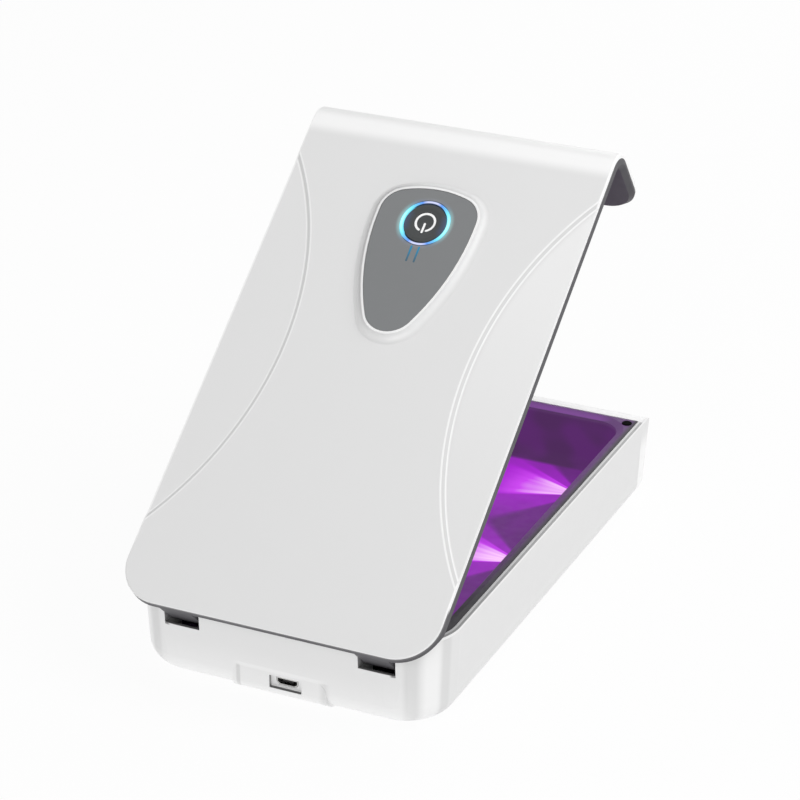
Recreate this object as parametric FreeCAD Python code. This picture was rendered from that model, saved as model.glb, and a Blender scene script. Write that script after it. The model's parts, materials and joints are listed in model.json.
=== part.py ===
import FreeCAD, Part
import math
import os

V = FreeCAD.Vector

# A UV sterilizer box for phones: a white moulded base with a dark lined cavity, and a lid hinged on
# the short rear side (-Y) that bends down over the front. Millimetres, +Z up. The lid is modelled
# closed and then turned to the open pose. The table is z = 0.

# Base shell
BASE_WIDTH = 110.0
BASE_LENGTH = 188.6
BASE_HEIGHT = 32.0
SHELL_WALL = 2.4
SHELL_FLOOR = 2.2
WALL_DRAFT = math.radians(3.0)
REAR_CORNER_R = 18.5
FRONT_CORNER_R = 4.0
BOTTOM_EDGE_R = 8.0
NOSE_R = 8.0
FOOT_HEIGHT = 1.0
FOOT_R = 5.5
FOOT_SINK = 0.6
FOOT_CHAMFER = 0.33
FOOT_SIDE_INSET = 19.0
FOOT_END_INSET = 22.0

# Tray with its rim plate and phone cavity
LIP_WIDTH = 1.7
RIM_FRONT_LIP = 10.0
RIM_THICKNESS = 1.6
RIM_SINK = 0.2
RIM_GAP = 0.3
LEDGE_WIDTH = 0.7
SEAT_GAP = 0.1
CAVITY_FRONT_INSET = 12.8
CAVITY_REAR_INSET = 15.0
CAVITY_DEPTH = 19.0
CAVITY_CORNER_R = 9.0
CAVITY_FLOOR_R = 3.0
BEVEL_WIDTH = 2.4
BEVEL_DEPTH = 1.2
TRAY_WALL = 1.5
BUMPER_R = 1.8
BUMPER_EDGE_INSET = 2.9
BUMPER_HEAD = 0.8
BUMPER_PROUD = 0.4
BUMPER_STEM_R = 0.9
BUMPER_BARB = 0.5
BUMPER_EDGE_R = 0.32

# Ultraviolet lamps in the long walls of the cavity
LAMP_INSET = 20.4
LAMP_SPACING = 54.3
LAMP_DROP = 6.8
LAMP_SIZE = 3.5
LAMP_HEIGHT = 1.0
WINDOW_SIZE = 5.0
WINDOW_THICKNESS = TRAY_WALL - LAMP_HEIGHT
STRIP_THICKNESS = 0.8
STRIP_HEIGHT = 7.4
STRIP_OVERHANG = 9.0
STRIP_GAP = 0.9

# Base fasteners
SCREW_R = 1.3
SCREW_HEAD_R = 2.4
SCREW_HEAD = 1.6
SCREW_GAP = 0.1
SCREW_BITE = 6.0
POST_R = 3.2
SCREW_SIDE_INSET = 17.0
SCREW_END_INSET = 38.3
SHELL_BOSS = 3.0

# Hinge
HINGE_INSET = 7.3
HINGE_DROP = 8.0
HINGE_SIDE_INSET = 20.7
NOTCH_WIDTH = 12.7
NOTCH_DEPTH = 12.2
NOTCH_FRONT_GAP = 0.6
KNUCKLE_R = 5.1
KNUCKLE_SIDE_GAP = 0.6
EAR_THICKNESS = 3.4
EAR_R = 4.4
PIN_R = 1.5
BUSH_R = 2.0
BUSH_BORE_R = 1.1
PIVOT_GAP = 0.05
PIN_SEAT = 3.0
BUSH_SEAT = 4.5
WASHER_R = 4.0
WASHER_THICKNESS = 0.45

# Power inlet and main board
SOCKET_X = 2.2
SOCKET_DROP = 24.9
SOCKET_WIDTH = 7.5
SOCKET_HEIGHT = 2.5
SOCKET_DEPTH = 5.6
SOCKET_SHEET = 0.3
SOCKET_WAIST_DROP = 0.25
SOCKET_TAPER = 1.0
SOCKET_TONGUE_WIDTH = 3.7
SOCKET_TONGUE_THICKNESS = 0.6
SOCKET_TONGUE_ROOT = 1.2
SOCKET_TONGUE_SETBACK = 0.8
SOCKET_GAP = 0.15
INLET_WIDTH = 11.4
INLET_HEIGHT = 4.6
INLET_DEPTH = 1.3
INLET_CORNER_R = 0.3
PATCH_WIDTH = 33.0
PATCH_LIFT = 1.35
PATCH_HEIGHT = 9.6
PATCH_CORNER_R = 4.5
PATCH_EDGE_R = 3.5
PATCH_FLARE = 3.0
BOARD_SIDE_GAP = 3.0
BOARD_FRONT_MARGIN = 3.0
BOARD_THICKNESS = 1.6
BOARD_WALL_GAP = 0.9
BOARD_POST_R = 2.4
BOARD_POST_INSET = 4.0

# Components on the main board, in rows measured from its rear edge
COIL_R = 3.4
COIL_HEIGHT = 3.2
COIL_SIDE_INSET = 12.0
COIL_ROW = 15.0
CAPACITOR_R = 2.5
CAPACITOR_HEIGHT = 4.4
CAPACITOR_SIDE_INSET = 11.0
CAPACITOR_ROW = 22.5
CONTROLLER_SIZE = 7.0
CONTROLLER_HEIGHT = 1.0
CONTROLLER_ROW = 31.5
DRIVER_WIDTH = 4.0
DRIVER_LENGTH = 5.0
DRIVER_HEIGHT = 1.4
DRIVER_X = 6.0
DRIVER_ROW = 41.5

# Lid
LID_LENGTH = 193.6
LID_THICKNESS = 5.8
LID_GAP = 0.3
LID_CORNER_R = 14.0
LID_OPEN = 37.2
BEND_R = 9.0
FLANGE_DROP = 37.0
FLANGE_CORNER_R = 12.0
FLANGE_THICKNESS = 3.8
COVER_THICKNESS = 1.4
COVER_EDGE_R = 0.5
INNER_BEND_R = 5.0
LINER_CHAMFER = 1.5
SWEEP_GAP = 0.3
FACET_STEP = 0.7
FACET_WIDTH = 23.5
FACET_REAR_INSET = 26.5
FACET_FRONT_INSET = 22.5
FACET_BLEND = 1.6
POCKET_DEPTH = 2.8
POCKET_INSET = 3.0
POCKET_FRONT_INSET = 14.0
POCKET_REAR_INSET = 17.5
LID_SCREW_R = 0.9
LID_SCREW_HEAD_R = 1.8
LID_SCREW_HEAD = 0.9
LID_SCREW_SIDE_INSET = 8.5
LID_SCREW_REAR_INSET = 30.0
LID_SCREW_FRONT_INSET = 23.6
LID_BOSS_R = 2.2

# Badge, button and ring, measured along the lid from its front
BADGE_TIP_R = 8.9
BADGE_TIP_INSET = 76.2
BADGE_SHOULDER_R = 8.6
BADGE_SHOULDER_INSET = 40.0
BADGE_SHOULDER_X = 8.7
BADGE_SIDE_R = 82.8
BADGE_TOP_R = 37.0
BADGE_THICKNESS = 1.0
BADGE_SINK = 0.15
BOSS_HEIGHT = 2.0
BOSS_RIM = 0.9
BOSS_SLOPE = 3.0
BOSS_TOP_EDGE_R = 0.5
RING_INSET = 43.1
RING_R = 8.7
RING_WALL = 1.1
RING_FLANGE = 0.9
RING_FLANGE_HEIGHT = 0.8
RING_STEP_R = 8.25
RING_STEP_DEPTH = 2.2
BUTTON_GAP = 0.25
BUTTON_CAP = 1.8
BUTTON_WALL = 1.2
BUTTON_TRAVEL = 0.5
BUTTON_LIP_HEIGHT = 0.6
BUTTON_STEM_R = 1.8
BUTTON_DISH_R = 60.0
BUTTON_DISH_INSET = 1.47
STREAK_X = 1.35
STREAK_WIDTH = 0.7
STREAK_LENGTH = 6.2
SWITCH_SIZE = 6.0
SWITCH_HEIGHT = 1.2
PLUNGER_R = 1.5
PLUNGER_GAP = 0.15
PLUNGER_FLOOR_GAP = 0.1
PRESS_GAP = 0.2
LID_BOARD_WIDTH = 32.0
LID_BOARD_LENGTH = 44.0
LID_BOARD_THICKNESS = 1.0
RING_LED_SIZE = 1.6
RING_LED_HEIGHT = 0.6

# Lid catch
MAGNET_WIDTH = 16.0
MAGNET_HEIGHT = 8.0
MAGNET_THICKNESS = 2.5
MAGNET_SIDE_INSET = 25.0
MAGNET_DROP = 12.0
STRIKE_THICKNESS = 0.8

# Wiring
CABLE_R = 0.7
CABLE_GAP = 0.4
CABLE_BEND_R = 1.6
CABLE_DROP = 4.8
CABLE_JOG = 1.6
CABLE_RUN_IN = 16.0
PLUG_WIDTH = 5.0
PLUG_LENGTH = 4.0
PLUG_HEIGHT = 1.5
FLEX_THICKNESS = 0.3
FLEX_WIDTH = 6.0

# Heights and places that follow from the sizes above
HALF_WIDTH = BASE_WIDTH / 2
REAR = -BASE_LENGTH / 2
FRONT = BASE_LENGTH / 2
SHELL_Z = FOOT_HEIGHT
FLOOR_Z = SHELL_Z + SHELL_FLOOR
TOP_Z = SHELL_Z + BASE_HEIGHT
RIM_Z = TOP_Z - RIM_SINK
LEDGE_Z = RIM_Z - RIM_THICKNESS
CAVITY_Z = RIM_Z - CAVITY_DEPTH
TRAY_Z = CAVITY_Z - TRAY_WALL
CAVITY_FRONT = FRONT - CAVITY_FRONT_INSET
CAVITY_REAR = REAR + CAVITY_REAR_INSET
RIM_FRONT = FRONT - RIM_FRONT_LIP
LAMP_Z = RIM_Z - LAMP_DROP
STRIP_Z = LAMP_Z - STRIP_HEIGHT / 2
STRIP_FACE = HALF_WIDTH - (TOP_Z - STRIP_Z) * math.tan(WALL_DRAFT) - SHELL_WALL - STRIP_GAP
WALL_BACK = STRIP_FACE - STRIP_THICKNESS
WALL_FACE = WALL_BACK - TRAY_WALL
AXIS_Y = REAR + HINGE_INSET
AXIS_Z = TOP_Z - HINGE_DROP
NOTCH_Z = TOP_Z - NOTCH_DEPTH
HINGE_X = HALF_WIDTH - HINGE_SIDE_INSET
KNUCKLE_HALF = NOTCH_WIDTH / 2 - KNUCKLE_SIDE_GAP
LID_BOTTOM_Z = TOP_Z + LID_GAP
LID_TOP_Z = LID_BOTTOM_Z + LID_THICKNESS
LINER_TOP_Z = LID_TOP_Z - COVER_THICKNESS
POCKET_Z = LINER_TOP_Z - POCKET_DEPTH
LID_BOARD_Z = POCKET_Z + LID_BOARD_THICKNESS
BADGE_Z = LID_TOP_Z + BOSS_HEIGHT - BADGE_SINK
SWEEP_R = math.hypot(HINGE_INSET, HINGE_DROP) + SWEEP_GAP
BUTTON_R = RING_R - RING_WALL - BUTTON_GAP
STEM_Z = LID_BOARD_Z + SWITCH_HEIGHT + BUTTON_TRAVEL + PRESS_GAP
SOCKET_Z = TOP_Z - SOCKET_DROP
BOARD_Z = SOCKET_Z - SOCKET_HEIGHT / 2
FOOT_X = HALF_WIDTH - FOOT_SIDE_INSET
FOOT_Y = FRONT - FOOT_END_INSET
SCREW_X = HALF_WIDTH - SCREW_SIDE_INSET
SCREW_Y = FRONT - SCREW_END_INSET
MAGNET_X = HALF_WIDTH - MAGNET_SIDE_INSET
LID_END = REAR + LID_LENGTH
RING_Y = LID_END - RING_INSET
LID_BOARD_REAR = RING_Y - LID_BOARD_LENGTH / 2 - RING_R
FACET_REACH = (LID_LENGTH - FACET_REAR_INSET - FACET_FRONT_INSET) / 2
FACET_R = (FACET_REACH ** 2 + FACET_WIDTH ** 2) / (2 * FACET_WIDTH)
BUMPER_X = HALF_WIDTH - LIP_WIDTH - RIM_GAP - BUMPER_EDGE_INSET
BUMPER_Y = RIM_FRONT - RIM_GAP - BUMPER_EDGE_INSET
CABLE_X = -HINGE_X
BOARD_HALF = HINGE_X - NOTCH_WIDTH / 2 - EAR_THICKNESS - BOARD_SIDE_GAP
CABLE_Z = LINER_TOP_Z - CABLE_GAP - CABLE_R
SIDES = (-1, 1)
BEYOND = BASE_WIDTH


def along(distance):
    """The closed lid's Y at a distance from its rear edge."""
    return REAR + distance


def inset_at(z):
    """How far the drafted walls stand inside the top outline at a height."""
    return (TOP_Z - z) * math.tan(WALL_DRAFT)


def wall_y(z):
    """The outer face of the rear wall at a height."""
    return REAR + inset_at(z)


def box(x0, x1, y0, y1, z0, z1):
    return Part.makeBox(x1 - x0, y1 - y0, z1 - z0, V(x0, y0, z0))


def rod_z(radius, x, y, z0, z1):
    return Part.makeCylinder(radius, z1 - z0, V(x, y, z0), V(0, 0, 1))


def rod_x(radius, y, z, x0, x1):
    return Part.makeCylinder(radius, x1 - x0, V(x0, y, z), V(1, 0, 0))


def flat_xy(z):
    return lambda u, v: V(u, v, z)


def flat_xz(y):
    return lambda u, v: V(u, y, v)


def flat_yz(x):
    return lambda u, v: V(x, u, v)


def outline(corners, place):
    """A closed wire through corners (u, v, radius), each rounded by its own tangent arc."""
    starts, ends, middles = [], [], []
    count = len(corners)
    for i, (u, v, radius) in enumerate(corners):
        here = V(u, v, 0)
        before = (V(*corners[i - 1][:2], 0) - here).normalize()
        after = (V(*corners[(i + 1) % count][:2], 0) - here).normalize()
        half = before.getAngle(after) / 2
        reach = radius / math.tan(half)
        starts.append(here + before * reach)
        ends.append(here + after * reach)
        bisector = (before + after).normalize()
        middles.append(here + bisector * (radius / math.sin(half) - radius))
    edges = []
    for i in range(count):
        spot = [place(p.x, p.y) for p in (starts[i], middles[i], ends[i])]
        if corners[i][2] > 0:
            edges.append(Part.Arc(*spot).toShape())
        following = starts[(i + 1) % count]
        if (following - ends[i]).Length > 1e-6:
            edges.append(Part.LineSegment(spot[2], place(following.x, following.y)).toShape())
    return Part.Wire(edges)


def plate(wire, direction):
    return Part.Face(wire).extrude(direction)


def rectangle(x0, x1, y0, y1, rear_r, front_r):
    """Corners of an upright rectangle, with one radius for the rear pair and one for the front."""
    return [(x0, y0, rear_r), (x1, y0, rear_r), (x1, y1, front_r), (x0, y1, front_r)]


def group(shapes):
    return Part.makeCompound(shapes)


def fused(first, others):
    return first.fuse(others).removeSplitter()


def tube(points, radius):
    """A round cable along straight runs joined by arcs of the cable's bend radius."""
    edges, start = [], points[0]
    for before, here, after in zip(points, points[1:], points[2:]):
        back = (before - here).normalize()
        on = (after - here).normalize()
        half = back.getAngle(on) / 2
        reach = CABLE_BEND_R / math.tan(half)
        middle = here + (back + on).normalize() * (CABLE_BEND_R / math.sin(half) - CABLE_BEND_R)
        edges.append(Part.LineSegment(start, here + back * reach).toShape())
        edges.append(Part.Arc(here + back * reach, middle, here + on * reach).toShape())
        start = here + on * reach
    edges.append(Part.LineSegment(start, points[-1]).toShape())
    path = Part.Wire(edges)
    circle = Part.Wire([Part.Circle(points[0], points[1] - points[0], radius).toShape()])
    return path.makePipe(Part.Face(circle))


# Base


def base_body(inset, floor_z):
    """The drafted block of the base, taken in by a wall, with rounded bottom edges and front nose."""
    def ring(z):
        step = inset + inset_at(z)
        corners = rectangle(-HALF_WIDTH + step, HALF_WIDTH - step, REAR + step, FRONT - step,
                            REAR_CORNER_R - step, 0)
        return outline(corners, flat_xy(z))

    body = Part.makeLoft([ring(floor_z), ring(TOP_Z)], True, True)
    front_low = FRONT - inset - inset_at(floor_z)
    low = [e for e in body.Edges if abs(e.BoundBox.ZMax - floor_z) < 1e-3
           and e.BoundBox.YMin < front_low - 1e-3]
    body = body.makeFillet(BOTTOM_EDGE_R - inset, low)
    rim = [e for e in body.Edges if e.BoundBox.YMin > front_low - 1e-3
           and e.BoundBox.ZMin < TOP_Z - 1e-3]
    body = body.makeFillet(FRONT_CORNER_R - inset, rim)
    nose_y = FRONT - NOSE_R
    nose_z = TOP_Z - NOSE_R
    corner = box(-BEYOND, BEYOND, nose_y, FRONT + BEYOND, nose_z, TOP_Z + BEYOND)
    corner = corner.cut(rod_x(NOSE_R - inset, nose_y, nose_z, -BEYOND, BEYOND))
    return body.cut(corner)


def inlet_patch():
    """An upright flat pad round the power inlet, flush with the rear wall at its top edge and proud below."""
    low = SHELL_Z + PATCH_LIFT
    high = low + PATCH_HEIGHT
    face = wall_y(high)

    def ring(grow, y):
        half = PATCH_WIDTH / 2 + grow
        corners = rectangle(-half, half, low, high + grow, 0, PATCH_CORNER_R + grow)
        return outline(corners, flat_xz(y))

    pad = Part.makeLoft([ring(0.0, face), ring(PATCH_FLARE, face + BOTTOM_EDGE_R)], True, True)
    front = [e for e in pad.Edges if e.BoundBox.ZMax < low + 1e-3 and e.BoundBox.YMax < face + 1e-3]
    return pad.makeFillet(PATCH_EDGE_R, front)


def notch_ranges():
    """The X range of each hinge notch."""
    half = NOTCH_WIDTH / 2
    return [(side * HINGE_X - half, side * HINGE_X + half) for side in SIDES]


def sill_cut():
    """The notch through the rear wall: a level sill with its inner half bevelled away."""
    out_y = wall_y(NOTCH_Z)
    mid_y = out_y + SHELL_WALL / 2
    in_y = AXIS_Y + KNUCKLE_R + NOTCH_FRONT_GAP
    slope = in_y - mid_y
    corners = [(REAR - BEYOND, NOTCH_Z, 0), (mid_y, NOTCH_Z, 0), (in_y, NOTCH_Z - slope, 0),
               (in_y, TOP_Z + BEYOND, 0), (REAR - BEYOND, TOP_Z + BEYOND, 0)]
    return [plate(outline(corners, flat_yz(x0)), V(x1 - x0, 0, 0)) for x0, x1 in notch_ranges()]


def hinge_ears():
    """Ribs beside each notch that carry the pivots, standing on the floor behind the tray."""
    ears = []
    for x0, x1 in notch_ranges():
        for start in (x0 - EAR_THICKNESS, x1):
            stem = box(start, start + EAR_THICKNESS, wall_y(SHELL_Z), AXIS_Y + EAR_R, SHELL_Z, AXIS_Z)
            ears.append(fused(stem, [rod_x(EAR_R, AXIS_Y, AXIS_Z, start, start + EAR_THICKNESS)]))
    return ears


def screw_places():
    return [(sx * SCREW_X, sy * SCREW_Y) for sx in SIDES for sy in SIDES]


def board_posts():
    """Centres of the posts under the main board."""
    reach = BOARD_HALF - BOARD_POST_INSET
    rear = board_rear() + BOARD_POST_INSET
    front = board_front() - BOARD_POST_INSET
    return [(side * reach, y) for side in SIDES for y in (rear, front)]


def mouth_y():
    """The Y of the power socket's mouth, at the floor of the inlet."""
    return wall_y(SOCKET_Z) + INLET_DEPTH


def board_rear():
    return mouth_y() + SHELL_WALL + BOARD_WALL_GAP


def socket_profile(grow, y):
    """The socket's outline: a rectangle whose lower corners are drawn in."""
    half = SOCKET_WIDTH / 2 + grow
    top = SOCKET_Z + SOCKET_HEIGHT / 2 + grow
    low = SOCKET_Z - SOCKET_HEIGHT / 2 - grow
    waist = SOCKET_Z - SOCKET_WAIST_DROP
    foot = half - SOCKET_TAPER
    corners = [(-half, top), (-half, waist), (-foot, low), (foot, low), (half, waist), (half, top)]
    return outline([(SOCKET_X + u, v, 0) for u, v in corners], flat_xz(y))


def base_shell():
    outer = fused(base_body(0.0, SHELL_Z), [inlet_patch()])
    hollow = base_body(SHELL_WALL, FLOOR_Z)
    roof = box(-BEYOND, BEYOND, RIM_FRONT - LEDGE_WIDTH, FRONT, TOP_Z - SHELL_WALL, TOP_Z)
    hollow = hollow.cut(roof)
    shell = outer.cut(hollow)
    inner_half = HALF_WIDTH - LIP_WIDTH
    recess = rectangle(-inner_half, inner_half, REAR + LIP_WIDTH, RIM_FRONT, REAR_CORNER_R - LIP_WIDTH, 0)
    shell = shell.cut(plate(outline(recess, flat_xy(LEDGE_Z)), V(0, 0, BEYOND)))
    inside = outer.common(box(-BEYOND, BEYOND, REAR, FRONT, SHELL_Z, LEDGE_Z))
    added = [ear.common(inside) for ear in hinge_ears()]
    added += [rod_z(POST_R, x, y, SHELL_Z, FLOOR_Z + SHELL_BOSS) for x, y in screw_places()]
    added += [rod_z(BOARD_POST_R, x, y, SHELL_Z, BOARD_Z - BOARD_THICKNESS) for x, y in board_posts()]
    shell = fused(shell, added)
    cuts = sill_cut()
    bore = PIN_R + PIVOT_GAP
    for side, (x0, x1) in zip(SIDES, notch_ranges()):
        inner, outer_x = (x1, x0) if side < 0 else (x0, x1)
        reach = side * EAR_THICKNESS
        cuts.append(rod_x(bore, AXIS_Y, AXIS_Z, *sorted((outer_x, outer_x + reach))))
        cuts.append(rod_x(BUSH_R + PIVOT_GAP, AXIS_Y, AXIS_Z, *sorted((inner, inner - reach))))
    for x, y in screw_places():
        cuts.append(rod_z(SCREW_HEAD_R + SCREW_GAP, x, y, SHELL_Z, SHELL_Z + SCREW_HEAD))
        cuts.append(rod_z(SCREW_R + SCREW_GAP, x, y, SHELL_Z, FLOOR_Z + SHELL_BOSS))
    cuts += [rod_z(FOOT_R, x, y, SHELL_Z, SHELL_Z + FOOT_SINK) for x, y in foot_places()]
    half, low, high = INLET_WIDTH / 2, SOCKET_Z - INLET_HEIGHT / 2, SOCKET_Z + INLET_HEIGHT / 2
    inlet = rectangle(SOCKET_X - half, SOCKET_X + half, low, high, INLET_CORNER_R, INLET_CORNER_R)
    cuts.append(plate(outline(inlet, flat_xz(REAR)), V(0, mouth_y() - REAR, 0)))
    cuts.append(plate(socket_profile(SOCKET_GAP, REAR), V(0, mouth_y() + SHELL_WALL - REAR, 0)))
    return shell.cut(cuts)


def foot_places():
    return [(sx * FOOT_X, sy * FOOT_Y) for sx in SIDES for sy in SIDES]


def rubber_feet():
    feet = []
    for x, y in foot_places():
        foot = rod_z(FOOT_R, x, y, 0, SHELL_Z + FOOT_SINK)
        low = [e for e in foot.Edges if e.BoundBox.ZMax < 1e-6]
        feet.append(foot.makeChamfer(FOOT_CHAMFER, low))
    return group(feet)


def base_screws():
    screws = []
    for x, y in screw_places():
        shank = rod_z(SCREW_R, x, y, SHELL_Z, FLOOR_Z + SHELL_BOSS + SCREW_BITE)
        head = rod_z(SCREW_HEAD_R, x, y, SHELL_Z, SHELL_Z + SCREW_HEAD)
        screws.append(fused(shank, [head]))
    return group(screws)


def cavity_solid(grow, low):
    """The cavity's own volume, grown by a wall, down to a floor with rounded edges."""
    reach = WALL_FACE + grow
    radius = CAVITY_CORNER_R + grow
    corners = rectangle(-reach, reach, CAVITY_REAR - grow, CAVITY_FRONT + grow, radius, radius)
    solid = plate(outline(corners, flat_xy(low)), V(0, 0, RIM_Z - low))
    bottom = [e for e in solid.Edges if e.BoundBox.ZMax < low + 1e-3]
    return solid.makeFillet(CAVITY_FLOOR_R + grow, bottom)


def inner_tray():
    half = HALF_WIDTH - LIP_WIDTH - RIM_GAP
    rear = REAR + LIP_WIDTH + RIM_GAP
    radius = REAR_CORNER_R - LIP_WIDTH - RIM_GAP
    rim = rectangle(-half, half, rear, RIM_FRONT - RIM_GAP, radius, 0)
    deck = plate(outline(rim, flat_xy(LEDGE_Z)), V(0, 0, RIM_THICKNESS))
    posts = [rod_z(POST_R, x, y, FLOOR_Z + SHELL_BOSS, TRAY_Z + TRAY_WALL) for x, y in screw_places()]
    tray = fused(deck, [cavity_solid(TRAY_WALL, TRAY_Z)] + posts)
    cuts = [cavity_solid(0.0, CAVITY_Z)]
    rings = []
    for grow, z in ((0.0, RIM_Z - BEVEL_DEPTH), (BEVEL_WIDTH, RIM_Z)):
        reach = WALL_FACE + grow
        radius = CAVITY_CORNER_R + grow
        corners = rectangle(-reach, reach, CAVITY_REAR - grow, CAVITY_FRONT + grow, radius, radius)
        rings.append(outline(corners, flat_xy(z)))
    cuts.append(Part.makeLoft(rings, True, True))
    notch_front = AXIS_Y + KNUCKLE_R + NOTCH_FRONT_GAP
    cuts += [box(x0, x1, REAR, notch_front, LEDGE_Z, RIM_Z) for x0, x1 in notch_ranges()]
    for x, y in screw_places():
        cuts.append(rod_z(SCREW_R + SCREW_GAP, x, y, FLOOR_Z, FLOOR_Z + SHELL_BOSS + SCREW_BITE))
    for side in SIDES:
        cuts.append(rod_z(BUMPER_R, side * BUMPER_X, BUMPER_Y, RIM_Z - BUMPER_HEAD, RIM_Z))
        cuts.append(rod_z(BUMPER_STEM_R, side * BUMPER_X, BUMPER_Y, LEDGE_Z, RIM_Z))
        x0, x1 = sorted((side * WALL_FACE, side * WALL_BACK))
        cuts += [lamp_block(x0, x1, y, WINDOW_SIZE) for y in lamp_rows()]
    return tray.cut(cuts)


def rim_bumpers():
    """Black rubber plugs in the rim's front corners that the closed lid comes down on."""
    plugs = []
    for side in SIDES:
        x = side * BUMPER_X
        head = rod_z(BUMPER_R, x, BUMPER_Y, RIM_Z - BUMPER_HEAD, RIM_Z + BUMPER_PROUD)
        top = [e for e in head.Edges if e.BoundBox.ZMin > RIM_Z]
        head = head.makeFillet(BUMPER_EDGE_R, top)
        stem = rod_z(BUMPER_STEM_R, x, BUMPER_Y, LEDGE_Z - BUMPER_BARB, RIM_Z - BUMPER_HEAD)
        barb = rod_z(BUMPER_STEM_R + BUMPER_BARB, x, BUMPER_Y, LEDGE_Z - 2 * BUMPER_BARB, LEDGE_Z)
        plugs.append(fused(head, [stem, barb]))
    return group(plugs)


# Lamps


def lamp_rows():
    """The Y of each row of lamps from the front, as many as the cavity's length takes."""
    spaces = int((CAVITY_FRONT - CAVITY_REAR - 2 * LAMP_INSET) / LAMP_SPACING)
    return [CAVITY_FRONT - LAMP_INSET - row * LAMP_SPACING for row in range(spaces + 1)]


def lamp_block(x0, x1, y, size):
    return box(x0, x1, y - size / 2, y + size / 2, LAMP_Z - size / 2, LAMP_Z + size / 2)


def lamp_pieces(near, far, size):
    """A block at each lamp, between two depths measured out from the cavity's wall face."""
    blocks = []
    for side in SIDES:
        x0, x1 = sorted((side * (WALL_FACE + near), side * (WALL_FACE + far)))
        blocks += [lamp_block(x0, x1, y, size) for y in lamp_rows()]
    return group(blocks)


def lamp_strip(side):
    x0, x1 = sorted((side * WALL_BACK, side * STRIP_FACE))
    rows = lamp_rows()
    y0, y1 = rows[-1] - STRIP_OVERHANG, rows[0] + STRIP_OVERHANG
    return box(x0, x1, y0, y1, STRIP_Z, STRIP_Z + STRIP_HEIGHT)


def lamp_flex(side):
    """A flat lead from a lamp strip, down the tray's wall and under its floor to the main board."""
    wall, low, thick = WALL_BACK, TRAY_Z, FLEX_THICKNESS
    end_x = BOARD_HALF - PLUG_WIDTH
    round_r = CAVITY_FLOOR_R + TRAY_WALL
    plug_z = BOARD_Z + PLUG_HEIGHT
    corners = [(wall, STRIP_Z, 0), (wall, low, round_r), (end_x, low, 0), (end_x, plug_z, 0),
               (end_x + thick, plug_z, 0), (end_x + thick, low - thick, 0),
               (wall + thick, low - thick, round_r + thick), (wall + thick, STRIP_Z, 0)]
    corners = [(side * x, z, r) for x, z, r in corners]
    y0 = flex_y() - FLEX_WIDTH / 2
    return plate(outline(corners, flat_xz(y0)), V(0, FLEX_WIDTH, 0))


def flex_y():
    """The leads leave their strips half a space ahead of the last lamps."""
    return lamp_rows()[-1] + LAMP_SPACING / 2


# Inlet and board


def usb_socket():
    back = mouth_y() + SOCKET_DEPTH
    can = plate(socket_profile(0.0, mouth_y()), V(0, SOCKET_DEPTH, 0))
    return can.cut(plate(socket_profile(-SOCKET_SHEET, mouth_y()), V(0, back - SOCKET_SHEET - mouth_y(), 0)))


def usb_tongue():
    half = SOCKET_TONGUE_WIDTH / 2
    top = SOCKET_Z + SOCKET_HEIGHT / 2 - SOCKET_SHEET
    back = mouth_y() + SOCKET_DEPTH - SOCKET_SHEET
    root = back - SOCKET_TONGUE_ROOT
    inside = plate(socket_profile(-SOCKET_SHEET, root), V(0, SOCKET_TONGUE_ROOT, 0))
    blade_top = top - SOCKET_TONGUE_THICKNESS
    tip = mouth_y() + SOCKET_TONGUE_SETBACK
    blade = box(SOCKET_X - half, SOCKET_X + half, tip, back, blade_top - SOCKET_TONGUE_THICKNESS, blade_top)
    return fused(inside, [blade])


def board_front():
    """The board reaches forward under the lamp leads."""
    return flex_y() + FLEX_WIDTH / 2 + BOARD_FRONT_MARGIN


def main_board():
    return box(-BOARD_HALF, BOARD_HALF, board_rear(), board_front(), BOARD_Z - BOARD_THICKNESS, BOARD_Z)


def on_board(x, y, width, length, height):
    return box(x - width / 2, x + width / 2, y - length / 2, y + length / 2, BOARD_Z, BOARD_Z + height)


def board_chips():
    """The controller, a coil, two drivers and a capacitor on the main board."""
    rear = board_rear()
    coil_x = COIL_SIDE_INSET - BOARD_HALF
    coil = rod_z(COIL_R, coil_x, rear + COIL_ROW, BOARD_Z, BOARD_Z + COIL_HEIGHT)
    capacitor_x = BOARD_HALF - CAPACITOR_SIDE_INSET
    capacitor = rod_z(CAPACITOR_R, capacitor_x, rear + CAPACITOR_ROW, BOARD_Z, BOARD_Z + CAPACITOR_HEIGHT)
    controller = on_board(0, rear + CONTROLLER_ROW, CONTROLLER_SIZE, CONTROLLER_SIZE, CONTROLLER_HEIGHT)
    row = rear + DRIVER_ROW
    drivers = [on_board(side * DRIVER_X, row, DRIVER_WIDTH, DRIVER_LENGTH, DRIVER_HEIGHT) for side in SIDES]
    return group([coil, capacitor, controller] + drivers)


def plug_place():
    """Where the lid's cable meets the main board."""
    return -BOARD_HALF + PLUG_WIDTH / 2, AXIS_Y + CABLE_JOG


def board_plugs():
    """Connectors on the main board for the lid's cable and the two lamp leads."""
    x, y = plug_place()
    plugs = [on_board(x, y, PLUG_WIDTH, PLUG_LENGTH, PLUG_HEIGHT)]
    lead_x = BOARD_HALF - PLUG_WIDTH
    plugs += [on_board(side * lead_x, flex_y(), PLUG_WIDTH, FLEX_WIDTH, PLUG_HEIGHT) for side in SIDES]
    return group(plugs)


# Hinge


def pin_span(side):
    """A pin's ends: through the outer ear and into the knuckle."""
    outer = side * (HINGE_X + NOTCH_WIDTH / 2 + EAR_THICKNESS)
    inner = side * (HINGE_X + KNUCKLE_HALF - PIN_SEAT)
    return sorted((outer, inner))


def bush_span(side):
    """A hollow bush's ends: through the inner ear and into the knuckle."""
    outer = side * (HINGE_X - NOTCH_WIDTH / 2 - EAR_THICKNESS)
    inner = side * (HINGE_X - KNUCKLE_HALF + BUSH_SEAT)
    return sorted((outer, inner))


def hinge_pin(side):
    return rod_x(PIN_R, AXIS_Y, AXIS_Z, *pin_span(side))


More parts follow.
